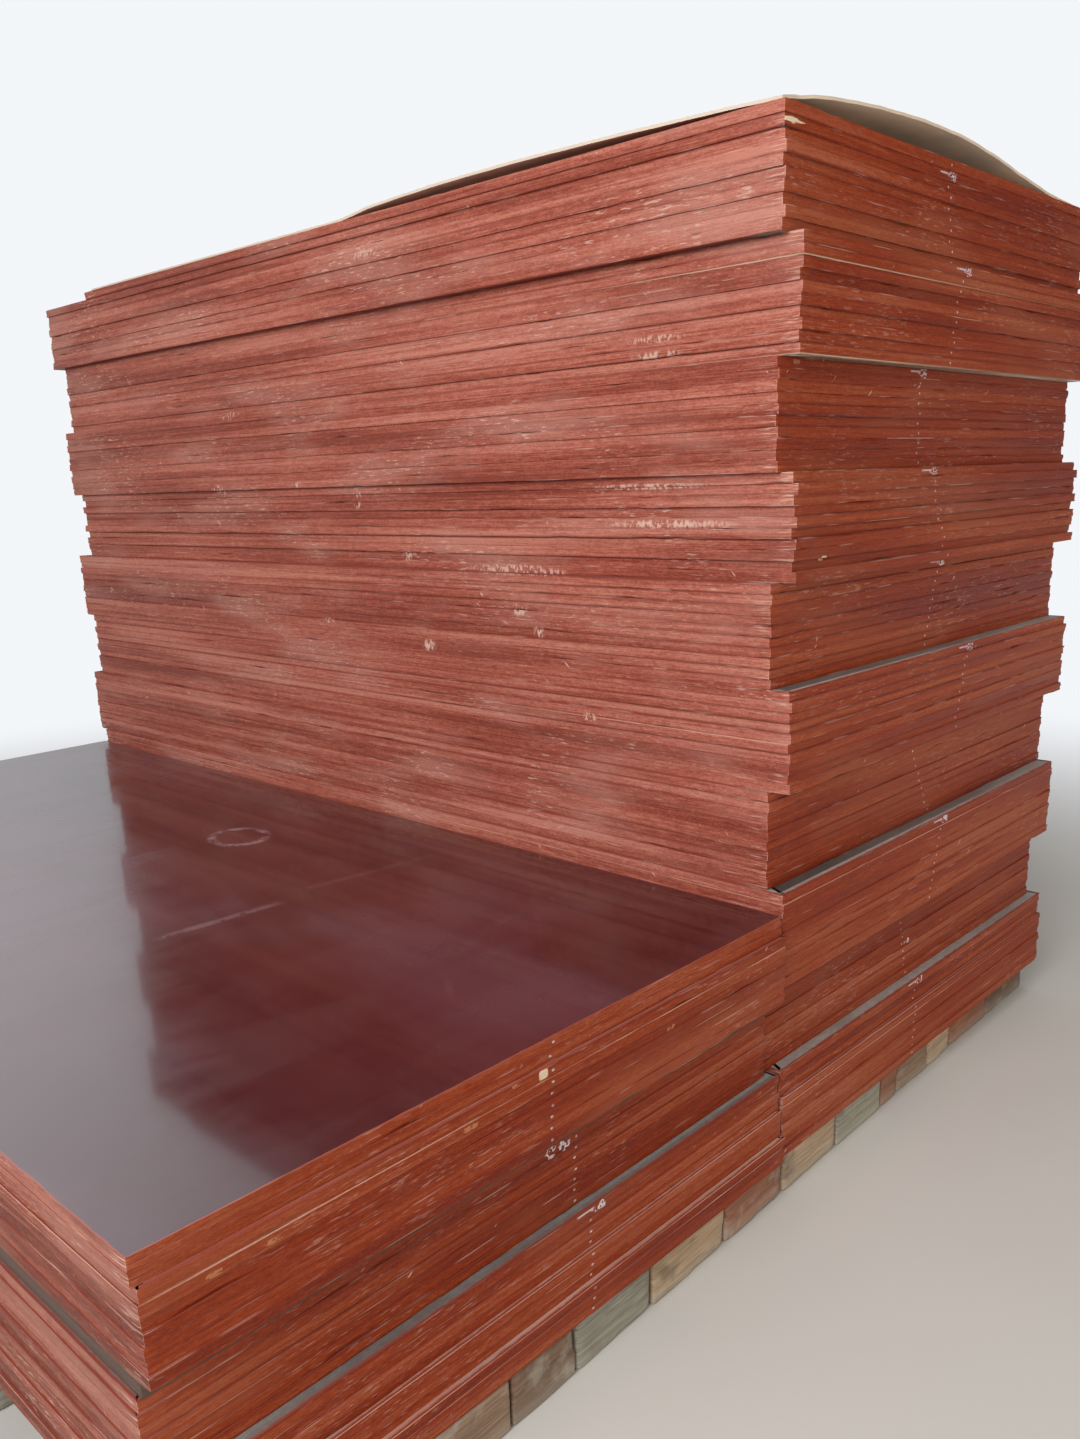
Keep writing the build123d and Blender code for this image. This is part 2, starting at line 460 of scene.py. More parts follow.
    def marks(self, ply: Socket) -> Socket:
        """The yard's tally dots on the end faces, one a sheet, with a dash and a scribble on a tier's top sheet.

        Args:
            ply: the height within the sheet, from -1 to 1.

        Returns:
            The share of pale marking.
        """
        x = self.parts(self.place)[0]
        aside = self.minus(x, self.number("mark_x"))
        rub = self.noise((420.0, 420.0, 420.0), 1.0, 0.6)
        dot_x = self.squared(self.from_middle(self.total((aside, 1.0), (rub, 0.004)), 0.0, self.dot.reach))
        dot_z = self.squared(self.from_middle(ply, 0.0, self.dot.tall))
        strength = self.span(self.number("tone"), 0.0, 1.0, 0.45, 0.95, smooth=False)
        dot = self.span(self.total((dot_x, 1.0), (dot_z, 1.0), (rub, 1.2)), 1.0, 1.6, strength, 0.0)
        dash, pad = (self.most(self.off(aside, spot.along, spot.reach), self.off(ply, spot.height, spot.tall))
                     for spot in (self.dash, self.pad))
        loops = self.add("ShaderNodeTexWave", {"Vector": self.place, "Scale": 45.0, "Distortion": 9.0, "Detail": 1.0,
                                               "Detail Scale": 2.0}, wave_type="RINGS", bands_direction="X")
        written = self.span(loops.outputs["Fac"], 0.45, 0.7)
        scribble = self.times(self.span(pad, 0.7, 1.0, 1.0, 0.0), written)
        tick = self.times(self.number("tick"), self.most(self.span(dash, 0.8, 1.1, 0.8, 0.0), scribble))
        lone = self.times(self.span(self.patches(x, self.scribbles), 0.25, 0.45), written)
        worn = self.span(rub, 0.30, 0.50, 0.25, 1.0)
        return self.times(self.most(dot, tick, lone), self.facing_low(1), worn)

    def torn(self, colour: Socket, at_end: Socket) -> Socket:
        """Lays the chips of the front and the torn veneer of the top corner over the paint.

        Args:
            colour: the paint's colour.
            at_end: whether a place is on an end edge.

        Returns:
            The colour with the chips on it.
        """
        x, _, z = self.parts(self.place)
        strip = self.total((self.noise((60.0, 60.0, 300.0), 1.0, 0.6), 1.6),
                           (self.off(x, self.tear.along, self.tear.reach), 1.0),
                           (self.off(z, self.tear.height, self.tear.tall), 1.0))
        colour = self.blend(self.times(self.span(strip, 1.9, 1.6), at_end), colour, self.splinter)
        chip = self.patches(x, self.chips, boxy=True)
        flaked = self.total((chip, 1.0), (self.noise((130.0, 130.0, 230.0), 2.0, 0.7), 1.8))
        flake = self.blend(self.span(chip, 0.80, 0.95), self.chipped, self.splinter)
        share = self.times(self.span(flaked, 1.40, 1.65, 0.0, 0.85), self.facing_low(1))
        return self.blend(share, colour, flake)

    def build(self) -> Material:
        """Builds the finish and returns its material."""
        ply = self.number("ply")
        from_middle = self.size(ply)
        level, height = self.tone()
        at_end = self.span(self.size(self.turned(1)), 0.45, 0.75)
        # Two copies of one paint, picked by which way the face turns: the lit long-face copy and the shaded end-face
        # copy, painted light and shade.
        side = self.ramp(level, (0.20, self.lit_side_dark), (0.50, self.lit_side_body), (0.80, self.lit_side_light))
        end = self.ramp(level, (0.10, self.shaded_end_dark), (0.50, self.shaded_end_body), (0.92, self.shaded_end_light))
        colour = self.blend(at_end, side, end)
        open_gap = self.span(self.noise((0.45, 0.45, 58.0), 1.0), 0.46, 0.60)
        # Painted shade: each sheet's edge darkens towards its upper and lower rims where the gaps open, as shade
        # between the sheets; the seam below lays a thin painted shadow in the gap.
        painted_seam_shade = self.times(self.span(from_middle, 0.45, 1.0), self.span(open_gap, 0.0, 1.0, 0.10, 0.70))
        seam = self.times(self.span(from_middle, 0.88, 1.0), open_gap, 0.5)
        glue_line = self.span(self.noise((1.6, 1.6, 380.0), 1.0, 0.6), 0.62, 0.74, 0.0, 0.5)
        cloud = self.span(self.noise((2.2, 2.2, 9.0), 2.0, 0.6), 0.46, 0.72, 0.0, 0.38)
        worn = self.wear(self.span(from_middle, 0.80, 1.0), at_end)
        x, y, _ = self.parts(self.place)
        fading = self.times(self.span(x, 0.20, 0.85, 0.85, 0.15), self.span(y, -1.12, -0.70, 1.0, 0.1))
        lip = self.times(self.span(ply, -0.70, -0.90), self.number("lip"), fading)
        broken = self.span(self.noise((3.0, 3.0, 3.0), 1.0, 0.6), 0.34, 0.56, 0.30, 0.90)
        crest = self.times(self.span(ply, 0.74, 0.92), self.number("crest"), broken)
        colour = self.layered(
            colour,
            # painted shade at the seams, in the dark of the lit long-face copy and the shaded end-face copy
            (painted_seam_shade, self.blend(at_end, self.lit_side_dark, self.shaded_end_dark)),
            (seam, self.shadow),
            (glue_line, self.shaded_end_dark),
            # pale veil, in the lit long-face copy and the shaded end-face copy of the paint
            (cloud, self.blend(at_end, self.lit_side_veil, self.shaded_end_veil)),
            (worn, self.bare),
            # dark colour on the low pile's set-back base sheets: dirt, and painted shade of the hollow they lie in
            (self.times(self.number("soiled"), 0.88), self.soil_and_shade),
            (lip, self.lip),
            (crest, self.crest),
        )
        colour = self.layered(self.torn(colour, at_end), (self.smeared(), self.bare), (self.marks(ply), self.chalk))
        self.fix({"Specular IOR Level": 0.16})
        rough = self.span(level, 0.2, 0.8, 0.44, 0.60)
        return self.done(colour, rough, height, strength=0.75, depth=0.0016)


@dataclass
class FilmFace(Surface):
    """The brown phenolic film on a sheet's face: dark and glossy, with dust, scuffs and paint lapped over its rim, and
    a pale painted reflection under a lipped sheet.
    """

    name: str = "film_face"
    film: Colour = (0.046, 0.002, 0.007)
    worn: Colour = (0.090, 0.006, 0.012)
    haze: Colour = (0.170, 0.095, 0.135)
    dusty: Colour = (0.470, 0.440, 0.395)
    lap: Colour = (0.300, 0.058, 0.034)
    # Pale tan of the painted reflection on a lipped sheet's underside.
    painted_reflection: Colour = (0.640, 0.500, 0.370)
    scuff: Colour = (0.420, 0.300, 0.330)
    dust: float = 0.05
    least: float = 0.0
    gloss: float = 0.68
    scuffed: bool = False
    painted_to: float = -9.0
    ring: Triple = (-0.343, -0.050, 0.058)
    streaks: tuple[tuple[Pair, Pair, float], ...] = (
        ((-0.799, -0.463), (-0.513, -0.484), 0.8),
        ((-1.180, -0.100), (-0.930, -0.290), 0.35),
        ((-0.480, -0.455), (-0.120, -0.500), 0.25),
        ((-1.240, 0.260), (-0.900, 0.140), 0.35),
    )

    def rubbed(self) -> Socket:
        """The share of film scuffed by a tin's ring and by what was dragged over it."""
        x, y, _ = self.parts(self.place)
        ring_x, ring_y, radius = self.ring
        away = self.math("SQRT", self.total((self.squared(self.minus(x, ring_x)), 1.0),
                                            (self.squared(self.minus(y, ring_y)), 0.8)))
        rub = self.noise((35.0, 35.0, 35.0), 3.0, 0.65)
        off = self.size(self.minus(away, radius))
        result = self.times(self.span(off, 0.002, 0.014, 0.55, 0.0), self.span(rub, 0.34, 0.58))
        for (x0, y0), (x1, y1), strength in self.streaks:
            length = math.hypot(x1 - x0, y1 - y0)
            ux, uy = (x1 - x0) / length, (y1 - y0) / length
            from_x, from_y = self.minus(x, x0), self.minus(y, y0)
            along = self.total((from_x, ux), (from_y, uy))
            aside = self.size(self.total((from_x, -uy), (from_y, ux)))
            inside = self.times(self.span(along, 0.0, 0.05), self.span(along, length, length - 0.06))
            line = self.times(self.span(aside, 0.001, 0.015, 0.34 * strength, 0.0), inside)
            result = self.most(result, self.times(line, self.span(rub, 0.20, 0.6)))
        return result

    def build(self) -> Material:
        """Builds the finish and returns its material."""
        cloud = self.noise((2.2, 1.4, 1.0), 3.0, 0.55)
        colour = self.blend(self.span(cloud, 0.40, 0.66, 0.0, 0.55), self.film, self.worn)
        smudge = self.noise((3.2, 1.5, 1.0), 2.0, 0.5, twist=0.6)
        colour = self.blend(self.span(smudge, 0.42, 0.66, 0.0, 0.22), colour, self.haze)
        wipe = self.noise((3.0, 11.0, 2.0), 3.0, 0.6, twist=0.6)
        fleck = self.noise((70.0, 70.0, 70.0), 2.0, 0.6)
        settled = self.total((self.span(wipe, 0.34, 0.66, self.least, 1.0), 0.85), (self.span(fleck, 0.40, 0.70), 0.15))
        dust = self.math("MULTIPLY", settled, 1.2 * self.dust, clamp=True)
        colour = self.blend(dust, colour, self.dusty)
        rough = self.total((self.span(wipe, 0.3, 0.7), 0.10), (self.span(smudge, 0.42, 0.66), 0.08), (dust, 0.55))
        if self.scuffed:
            rubbed = self.rubbed()
            colour = self.blend(rubbed, colour, self.scuff)
            rough = self.total((rough, 1.0), (rubbed, 0.3))
        uneven = self.noise((45.0, 45.0, 45.0), 2.0, 0.6)
        near_edge = self.total((self.number("arris"), 1.0), (uneven, 0.5))
        x, y, _ = self.parts(self.place)
        beside = self.times(self.math("LESS_THAN", x, self.painted_to), self.span(y, -1.17, -1.12))
        lapped = self.most(self.span(near_edge, 0.66, 1.06), beside)
        colour = self.blend(lapped, colour, self.lap)
        # Painted reflection: the lowest face of a lipped sheet takes a pale tan, as its glossy film mirrors the lit
        # floor.
        under = self.times(self.math("LESS_THAN", self.number("ply"), -0.9), self.number("lip"))
        colour = self.blend(under, colour, self.painted_reflection)
        rough = self.plus(self.total((rough, 1.0), (lapped, 0.35)), 0.12, clamp=True)
        self.fix({"IOR": 1.55, "Specular IOR Level": 0.35, "Coat Weight": self.gloss, "Coat Roughness": 0.07,
                  "Coat IOR": 1.52})
        grain = self.noise((4.0, 60.0, 4.0), 2.0, 0.5)
        swell = self.noise((3.2, 2.4, 1.0), 2.0, 0.4)
        return self.done(colour, rough, self.total((grain, 0.05), (swell, 1.0)), strength=0.20, depth=0.0016)


@dataclass
class WeatheredTimber(Surface):
    """Old sawn timber, dirty with cement dust, each block with a stain of its own stored on the mesh."""

    name: str = "weathered_timber"
    dirt: Colour = (0.110, 0.078, 0.052)
    dust: Colour = (0.480, 0.430, 0.350)

    def build(self) -> Material:
        """Builds the finish and returns its material."""
        turned = self.vector("ADD", self.place, self.joined(0.0, self.times(self.number("tone"), 3.0), 0.0))
        grain = self.noise((7.0, 150.0, 210.0), 4.0, 0.65, twist=0.4, at=turned)
        rings = self.noise((3.5, 30.0, 38.0), 3.0, 0.6, twist=0.7, at=turned)
        blotch = self.noise((14.0, 14.0, 16.0), 4.0, 0.65, at=turned)
        stain = self.noise((8.0, 8.0, 8.0), 3.0, 0.6, at=turned)
        colour = self.blend(self.span(grain, 0.35, 0.65, 0.0, 0.45), self.colour("stain"), self.dirt, "MULTIPLY")
        colour = self.blend(self.span(rings, 0.54, 0.68, 0.0, 0.22), colour, self.dirt)
        colour = self.blend(self.span(stain, 0.56, 0.70, 0.0, 0.6), colour, self.dirt)
        low = self.span(self.parts(self.place)[2], 0.045, 0.0, 0.0, 0.35)
        powder = self.plus(low, self.span(blotch, 0.50, 0.72, 0.0, 0.45), clamp=True)
        relief = self.total((grain, 0.6), (rings, 0.5), (blotch, 0.6))
        rough = self.span(blotch, 0.3, 0.7, 0.78, 0.95)
        return self.done(self.blend(powder, colour, self.dust), rough, relief, strength=0.7, depth=0.003)


@dataclass
class KraftBoard(Surface):
    """Brown fibre board: mottled faces with soft creases, a paler torn edge, and a much lighter underside that is
    painted light.
    """

    name: str = "kraft_board"
    face: Colour = (0.560, 0.410, 0.300)
    light: Colour = (0.660, 0.510, 0.390)
    # Light colour of the underside: painted light.
    under: Colour = (0.950, 0.680, 0.500)
    edge: Colour = (0.780, 0.640, 0.500)

    def build(self) -> Material:
        """Builds the finish and returns its material."""
        fibre = self.noise((140.0, 420.0, 140.0), 3.0, 0.7)
        cloud = self.noise((3.0, 3.0, 3.0), 4.0, 0.6)
        flutes = self.add("ShaderNodeTexWave", {"Vector": self.place, "Scale": 22.0, "Distortion": 0.6},
                          wave_type="BANDS", bands_direction="X")
        colour = self.blend(self.span(cloud, 0.35, 0.68), self.face, self.light)
        colour = self.blend(self.span(fibre, 0.40, 0.64, 0.0, 0.35), colour, self.light)
        # Painted light: the faces turned down take the much lighter underside colour.
        below = self.span(self.turned(2), -0.2, -0.7)
        colour = self.blend(below, colour, self.blend(self.span(cloud, 0.35, 0.65), self.under, self.light))
        colour = self.blend(self.times(self.number("rim"), 0.85), colour, self.edge)
        relief = self.total((fibre, 0.15), (cloud, 0.6), (flutes.outputs["Fac"], 0.05))
        return self.done(colour, self.span(cloud, 0.3, 0.7, 0.72, 0.9), relief, strength=0.4, depth=0.004)


# Meshes


def plain_mesh(name: str, points: np.ndarray, faces: Faces) -> Mesh:
    """Makes a mesh with smooth faces.

    Args:
        name: the mesh's name.
        points: its points, three numbers a row.
        faces: its faces, as point numbers.

    Returns:
        The mesh.
    """
    mesh = bpy.data.meshes.new(name)
    mesh.from_pydata([tuple(p) for p in points], [], faces)
    mesh.update()
    mesh.shade_smooth()
    return mesh


def store(mesh: Mesh, name: str, values: np.ndarray, kind: str = "FLOAT", domain: str = "POINT") -> None:
    """Stores values on a mesh.

    Args:
        mesh: the mesh.
        name: the values' name.
        values: the values in order.
        kind: what a value is.
        domain: what has a value each.
    """
    attribute = mesh.attributes.new(name, kind, domain)
    key = {"FLOAT_VECTOR": "vector", "FLOAT_COLOR": "color"}.get(kind, "value")
    attribute.data.foreach_set(key, np.asarray(values).ravel())


def new_object(name: str, data: ID) -> Object:
    """Puts a mesh, a lamp or a camera in the scene."""
    thing = bpy.data.objects.new(name, data)
    bpy.context.scene.collection.objects.link(thing)
    return thing


def as_plain_mesh(thing: Object, name: str) -> Mesh:
    """Takes what an object's modifiers make as a mesh of its own.

    Args:
        thing: the object with its modifiers.
        name: the new mesh's name.

    Returns:
        The plain mesh.
    """
    bpy.context.view_layer.update()
    depsgraph = bpy.context.evaluated_depsgraph_get()
    made = thing.evaluated_get(depsgraph)
    mesh = bpy.data.meshes.new_from_object(made, preserve_all_data_layers=True, depsgraph=depsgraph)
    mesh.name = name
    return mesh


def hand_over(piece: Object, node: str) -> None:
    """Makes a finished piece stand for its solids.

    Args:
        piece: the finished piece.
        node: the solids' node that it stands for.
    """
    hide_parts(node)
    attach(piece, BODY)
    triangles = len(piece.data.loops) - 2 * len(piece.data.polygons)
    LOG.info("%s: %d triangles, stands for %s", piece.name, triangles, node)


def spread(length: float, near: float, far: float, zone: float, growth: float = 1.22) -> np.ndarray:
    """Places along a side, close together at its ends and further apart between.

    Args:
        length: the side's length.
        near: the first step at an end.
        far: the longest step, in the middle.
        zone: how far the close steps reach in.
        growth: how much longer each close step is than the one before.

    Returns:
        The places, from minus half the length to half the length.
    """
    steps = [0.0]
    step = near
    while steps[-1] < zone:
        steps.append(steps[-1] + step)
        step *= growth
    ends = np.array(steps)
    inner = length - 2.0 * ends[-1]
    count = max(1, round(inner / far))
    middle = ends[-1] + inner * np.arange(1, count) / count
    return np.concatenate([ends, middle, length - ends[::-1]]) - length / 2.0


class FaceFill(Enum):
    """How a sheet's upper face is filled: one plate where it is covered, or a grid where it shows."""

    PLATE = "plate"
    GRID = "grid"


@dataclass(frozen=True)
class SheetBlank:
    """One sheet as a mesh about its own middle, with the numbers that its wear and finish follow.

    Near, far and zone space its points, land is the width of the strip round its faces, and waist is the
    share of its half height at which its edge has two more loops.
    """

    width: float
    length: float
    thickness: float
    fill: FaceFill = FaceFill.PLATE
    near: float = 0.007
    far: float = 0.034
    zone: float = 0.09
    land: float = 0.012
    arris: float = 0.0004
    waist: float = 0.34
    corner_reach: float = 0.022
    snug: float = 0.00028

    @property
    def half(self) -> float:
        """Half the height, with the snug share of the gap to the next sheet."""
        return (self.thickness + self.snug) / 2.0

    def stations(self) -> tuple[np.ndarray, np.ndarray]:
        """The places of the outline's points across and along the sheet."""
        return (spread(self.width, self.near, self.far, self.zone),
                spread(self.length, self.near, self.far, self.zone))

    def rim(self) -> tuple[np.ndarray, np.ndarray, np.ndarray]:
        """The sheet's outline.

        Returns:
            The outline's places in plan, the way out at each, and the distance to the nearest corner.
        """
        xs, ys = self.stations()
        half_x, half_y = self.width / 2.0, self.length / 2.0
        sides = (
            [((x, -half_y), (0.0, -1.0)) for x in xs[:-1]],
            [((half_x, y), (1.0, 0.0)) for y in ys[:-1]],
            [((x, half_y), (0.0, 1.0)) for x in xs[:0:-1]],
            [((-half_x, y), (-1.0, 0.0)) for y in ys[:0:-1]],
        )
        corners = ((-1.0, -1.0), (1.0, -1.0), (1.0, 1.0), (-1.0, 1.0))
        places, outs = [], []
        for side, corner in zip(sides, corners):
            places += [place for place, _ in side]
            outs += [corner] + [out for _, out in side[1:]]
        plan = np.array(places)
        inset = np.array([half_x, half_y]) - np.abs(plan)
        near, other = inset.min(1), inset.max(1)
        return plan, np.array(outs), np.where(near < TOUCHING, other, near)

    def rings(self) -> list[Triple]:
        """The loops round the sheet, from the upper face down.

        Returns:
            For each loop how far in it lies, its height, and how much of an arris it is.
        """
        half = self.half
        loops = [
            (self.land, half, 0.0),
            (0.0, half, 1.0),
            (0.0, half - self.arris, 0.6),
            (0.0, half * self.waist, 0.0),
            (0.0, -half * self.waist, 0.0),
            (0.0, -half + self.arris, 0.6),
            (0.0, -half, 1.0),
            (self.land, -half, 0.0),
        ]
        return loops[1:] if self.fill is FaceFill.GRID else loops

    def grid(self, start: int) -> tuple[np.ndarray, Faces]:
        """Fills the upper face with a grid inside the first loop.

        Args:
            start: the number of the first point inside the face.

        Returns:
            The points inside the face, and the face's quads.
        """
        xs, ys = self.stations()
        across, along = len(xs), len(ys)
        number = np.full((across, along), -1, int)
        number[:-1, 0] = np.arange(across - 1)
        number[-1, :-1] = across - 1 + np.arange(along - 1)
        number[:0:-1, -1] = across + along - 2 + np.arange(across - 1)
        number[0, :0:-1] = 2 * across + along - 3 + np.arange(along - 1)
        inside_x, inside_y = np.meshgrid(xs[1:-1], ys[1:-1], indexing="ij")
        number[1:-1, 1:-1] = start + np.arange(inside_x.size).reshape(inside_x.shape)
        inside = np.stack([inside_x.ravel(), inside_y.ravel(), np.full(inside_x.size, self.half)], 1)
        corners = np.stack([number[:-1, :-1], number[1:, :-1], number[1:, 1:], number[:-1, 1:]], 2)
        return inside, [tuple(quad) for quad in corners.reshape(-1, 4).tolist()]

    def mesh(self, name: str) -> Mesh:
        """Builds the sheet.

        Args:
            name: the mesh's name.

        Returns:
            The mesh, with its way out, arris, corner and ply stored.
        """
        plan, outs, away = self.rim()
        count = len(plan)
        rings = self.rings()
        points, out, arris, corner = [], [], [], []
        for inset, height, sharp in rings:
            at_rim = float(inset == 0.0)
            points.append(np.column_stack([plan - outs * inset, np.full(count, height)]))
            out.append(np.column_stack([outs, np.zeros(count)]) * at_rim)
            arris.append(np.full(count, sharp))
            corner.append(np.exp(-away / self.corner_reach) * at_rim)
        faces: Faces = []
        film: list[bool] = []
        for ring, (upper, lower) in enumerate(zip(rings, rings[1:])):
            up, down = ring * count, (ring + 1) * count
            faces += [(up + i, down + i, down + (i + 1) % count, up + (i + 1) % count) for i in range(count)]
            film += [upper[1] == lower[1]] * count
        inside, upper_face = np.zeros((0, 3)), [tuple(range(count))]
        if self.fill is FaceFill.GRID:
            inside, upper_face = self.grid(len(rings) * count)
        last = (len(rings) - 1) * count
        faces += [*upper_face, tuple(range(last + count - 1, last - 1, -1))]
        film += [True] * (len(upper_face) + 1)
        every = np.concatenate([*points, inside])
        mesh = plain_mesh(name, every, faces)
        store(mesh, "outward", np.concatenate([*out, 0.0 * inside]), "FLOAT_VECTOR")
        store(mesh, "arris", np.concatenate([*arris, 0.0 * inside[:, 0]]))
        store(mesh, "corner", np.concatenate([*corner, 0.0 * inside[:, 0]]))
        store(mesh, "ply", every[:, 2] / self.half)
        store(mesh, "film", np.array(film), "BOOLEAN", "FACE")
        crease(mesh)
        return mesh


def crease(mesh: Mesh, least: float = 0.7) -> None:
    """Marks a mesh's arrises as sharp, where the cosine between two faces is below the least."""
    beside: dict[tuple[int, int], list[Vector]] = {}
    for polygon in mesh.polygons:
        for key in polygon.edge_keys:
            beside.setdefault(key, []).append(polygon.normal.copy())
    pairs = [beside[edge.key] for edge in mesh.edges]
    sharp = [len(pair) == 2 and pair[0].dot(pair[1]) < least for pair in pairs]
    store(mesh, "sharp_edge", np.array(sharp), "BOOLEAN", "EDGE")


# The laying of a tier, in Geometry Nodes


@dataclass(frozen=True)
class EdgeWear:
    """How much a sheet's edge has lost, in metres: its saw wander, ragged arrises, chips and knocked corners."""

    base: float = 0.0003
    wander: float = 0.0006
    ragged: float = 0.0003
    chip: float = 0.0030
    corner: float = 0.0022
    sway: float = 0.0022


class GeometryTree(Wiring):
    """A new geometry tree with named inputs."""

    def __init__(self, name: str, kinds: dict[str, str]) -> None:
        """Starts the tree.

        Args:
            name: the tree's name.
            kinds: the socket type of each input, by the input's name.
        """
        super().__init__(bpy.data.node_groups.new(name, "GeometryNodeTree"))
        self.identifiers: dict[str, str] = {}
        for entry, kind in {"Geometry": "Geometry", **kinds}.items():
            made = self.tree.interface.new_socket(name=entry, in_out="INPUT", socket_type=f"NodeSocket{kind}")
            self.identifiers[entry] = made.identifier
        self.tree.interface.new_socket(name="Geometry", in_out="OUTPUT", socket_type="NodeSocketGeometry")
        self.given = self.add("NodeGroupInput").outputs
        self.place = self.add("GeometryNodeInputPosition").outputs[0]

    def settle(self) -> Socket:
        """How far the pile sags: more the higher up, and the same for every layer that lies there."""
        x, y, z = self.parts(self.place)
        slow = self.noise((0.9, 0.7, 1.0), 0.0, 0.0, at=self.joined(x, y, 0.0))
        height = self.span(z, 0.6, 1.9, 0.0, 1.0, smooth=False)
        swing = self.span(slow, 0.2, 0.8, 0.0, -1.0)
        return self.times(swing, height, self.given["Sway"])

    def work_on(self, thing: Object, values: dict[str, object]) -> None:
        """Sets the tree to work on an object, with a value for each named input."""
        modifier = thing.modifiers.new(self.tree.name, "NODES")
        modifier.node_group = self.tree
        for name, value in values.items():
            modifier[self.identifiers[name]] = value


class LayingTree(GeometryTree):
    """The Geometry Nodes that lay one worn sheet on each point of a tier."""

    def __init__(self, blank: Object, shown: Object, wear: EdgeWear) -> None:
        """Builds the tree.

        Args:
            blank: the covered sheet's object.
            shown: the object of a sheet whose upper face shows.
            wear: how worn the edges are.
        """
        lengths = dict.fromkeys(("Base", "Wander", "Ragged", "Chip", "Corner", "Sway"), "Float")
        super().__init__("lay_sheets", {"Blank": "Object", "Shown blank": "Object", "Seed": "Int", **lengths,
                                        "Edge finish": "Material", "Film finish": "Material"})
        self.fixed = {"Blank": blank, "Shown blank": shown, "Base": wear.base, "Wander": wear.wander,
                      "Ragged": wear.ragged, "Chip": wear.chip, "Corner": wear.corner, "Sway": wear.sway}
        self.build()

    def loss(self) -> tuple[Socket, Socket]:
        """How far the edge has gone in.

        Returns:
            How far in the edge goes, and how strongly the place is chipped.
        """
        sheet = self.times(self.stored("tone"), 60.0)
        arris, corner = self.stored("arris"), self.stored("corner")
        saw = self.noise((5.0, 5.0, 90.0), 2.0, 0.5, turn=sheet)
        ragged = self.noise((60.0, 60.0, 60.0), 2.0, 0.6, turn=sheet)
        spots = self.noise((26.0, 26.0, 60.0), 2.0, 0.6, turn=sheet)
        knocked = self.noise((40.0, 40.0, 120.0), 2.0, 0.6, turn=sheet)
        torn = self.times(self.span(ragged, 0.40, 0.68), arris)
        chipped = self.times(self.span(spots, 0.60, 0.72), arris)
        knock = self.times(self.span(knocked, 0.30, 0.66, 0.15, 1.0), corner, corner)
        amount = self.given["Base"]
        for share, most in ((self.span(saw, 0.3, 0.7), "Wander"), (torn, "Ragged"), (chipped, "Chip"),
                            (knock, "Corner")):
            amount = self.math("MULTIPLY_ADD", share, self.given[most], amount)
        return amount, chipped

    def build(self, sunk_at_chip: float = 0.0016) -> None:
        """Adds the tree's nodes.

        Args:
            sunk_at_chip: how far a chipped arris is bent towards the middle of its sheet, in metres.
        """
        together = self.add("GeometryNodeJoinGeometry")
        for name in ("Blank", "Shown blank"):
            self.tree.links.new(self.laid(name), together.inputs[0])
        random = self.add("FunctionNodeRandomValue", {"ID": self.add("GeometryNodeInputIndex").outputs[0],
                                                      "Seed": self.given["Seed"]}, data_type="FLOAT")
        value = next(o for o in random.outputs if o.type == "VALUE")
        toned = self.add("GeometryNodeStoreNamedAttribute", {"Geometry": together.outputs[0], "Name": "tone",
                                                             "Value": value}, data_type="FLOAT", domain="INSTANCE")
        real = self.shaped("RealizeInstances", toned.outputs[0])
        amount, chipped = self.loss()
        inward = self.scaled(self.stored("outward", "FLOAT_VECTOR"), self.times(amount, -1.0))
        sunk = self.times(self.stored("ply"), chipped, -sunk_at_chip)
        lift = self.plus(sunk, self.settle())
        moved = self.shaped("SetPosition", real, Offset=self.vector("ADD", inward, self.joined(0.0, 0.0, lift)))
        edges = self.shaped("SetMaterial", moved, Material=self.given["Edge finish"])
        film = self.shaped("SetMaterial", edges, Selection=self.stored("film", "BOOLEAN"),
                           Material=self.given["Film finish"])
        self.add("NodeGroupOutput", {0: film})

    def laid(self, name: str) -> Socket:
        """Lays one kind of sheet on the points that want it.

        Args:
            name: the input with the sheet's object.

        Returns:
            The laid sheets.
        """
        wanted = self.stored("shown", "BOOLEAN")
        if name == "Blank":
            wanted = self.add("FunctionNodeBooleanMath", {0: wanted}, operation="NOT").outputs[0]
        points = self.add("GeometryNodeMeshToPoints", {"Mesh": self.given["Geometry"], "Selection": wanted})
        sheet = self.add("GeometryNodeObjectInfo", {"Object": self.given[name]}).outputs["Geometry"]
        return self.add("GeometryNodeInstanceOnPoints", {"Points": points.outputs[0], "Instance": sheet}).outputs[0]

    def lay(self, points: Object, seed: int, edge: Material, film: Material) -> None:
        """Sets the tree to work on a tier's points.

        Args:
            points: the object that has one point a sheet.
            seed: which random numbers its sheets take.
            edge: the finish of the edges.
            film: the finish of the faces.
        """
        self.work_on(points, {**self.fixed, "Seed": seed, "Edge finish": edge, "Film finish": film})


# Sub-assemblies


@dataclass(frozen=True)
class SheetBox:
    """Where one sheet lies: its lowest and highest corner."""

    low: np.ndarray
    high: np.ndarray

    @property
    def middle(self) -> np.ndarray:
        """The sheet's middle."""
        return (self.low + self.high) / 2.0

    @property
    def size(self) -> np.ndarray:
        """The sheet's width, length and thickness."""
        return self.high - self.low


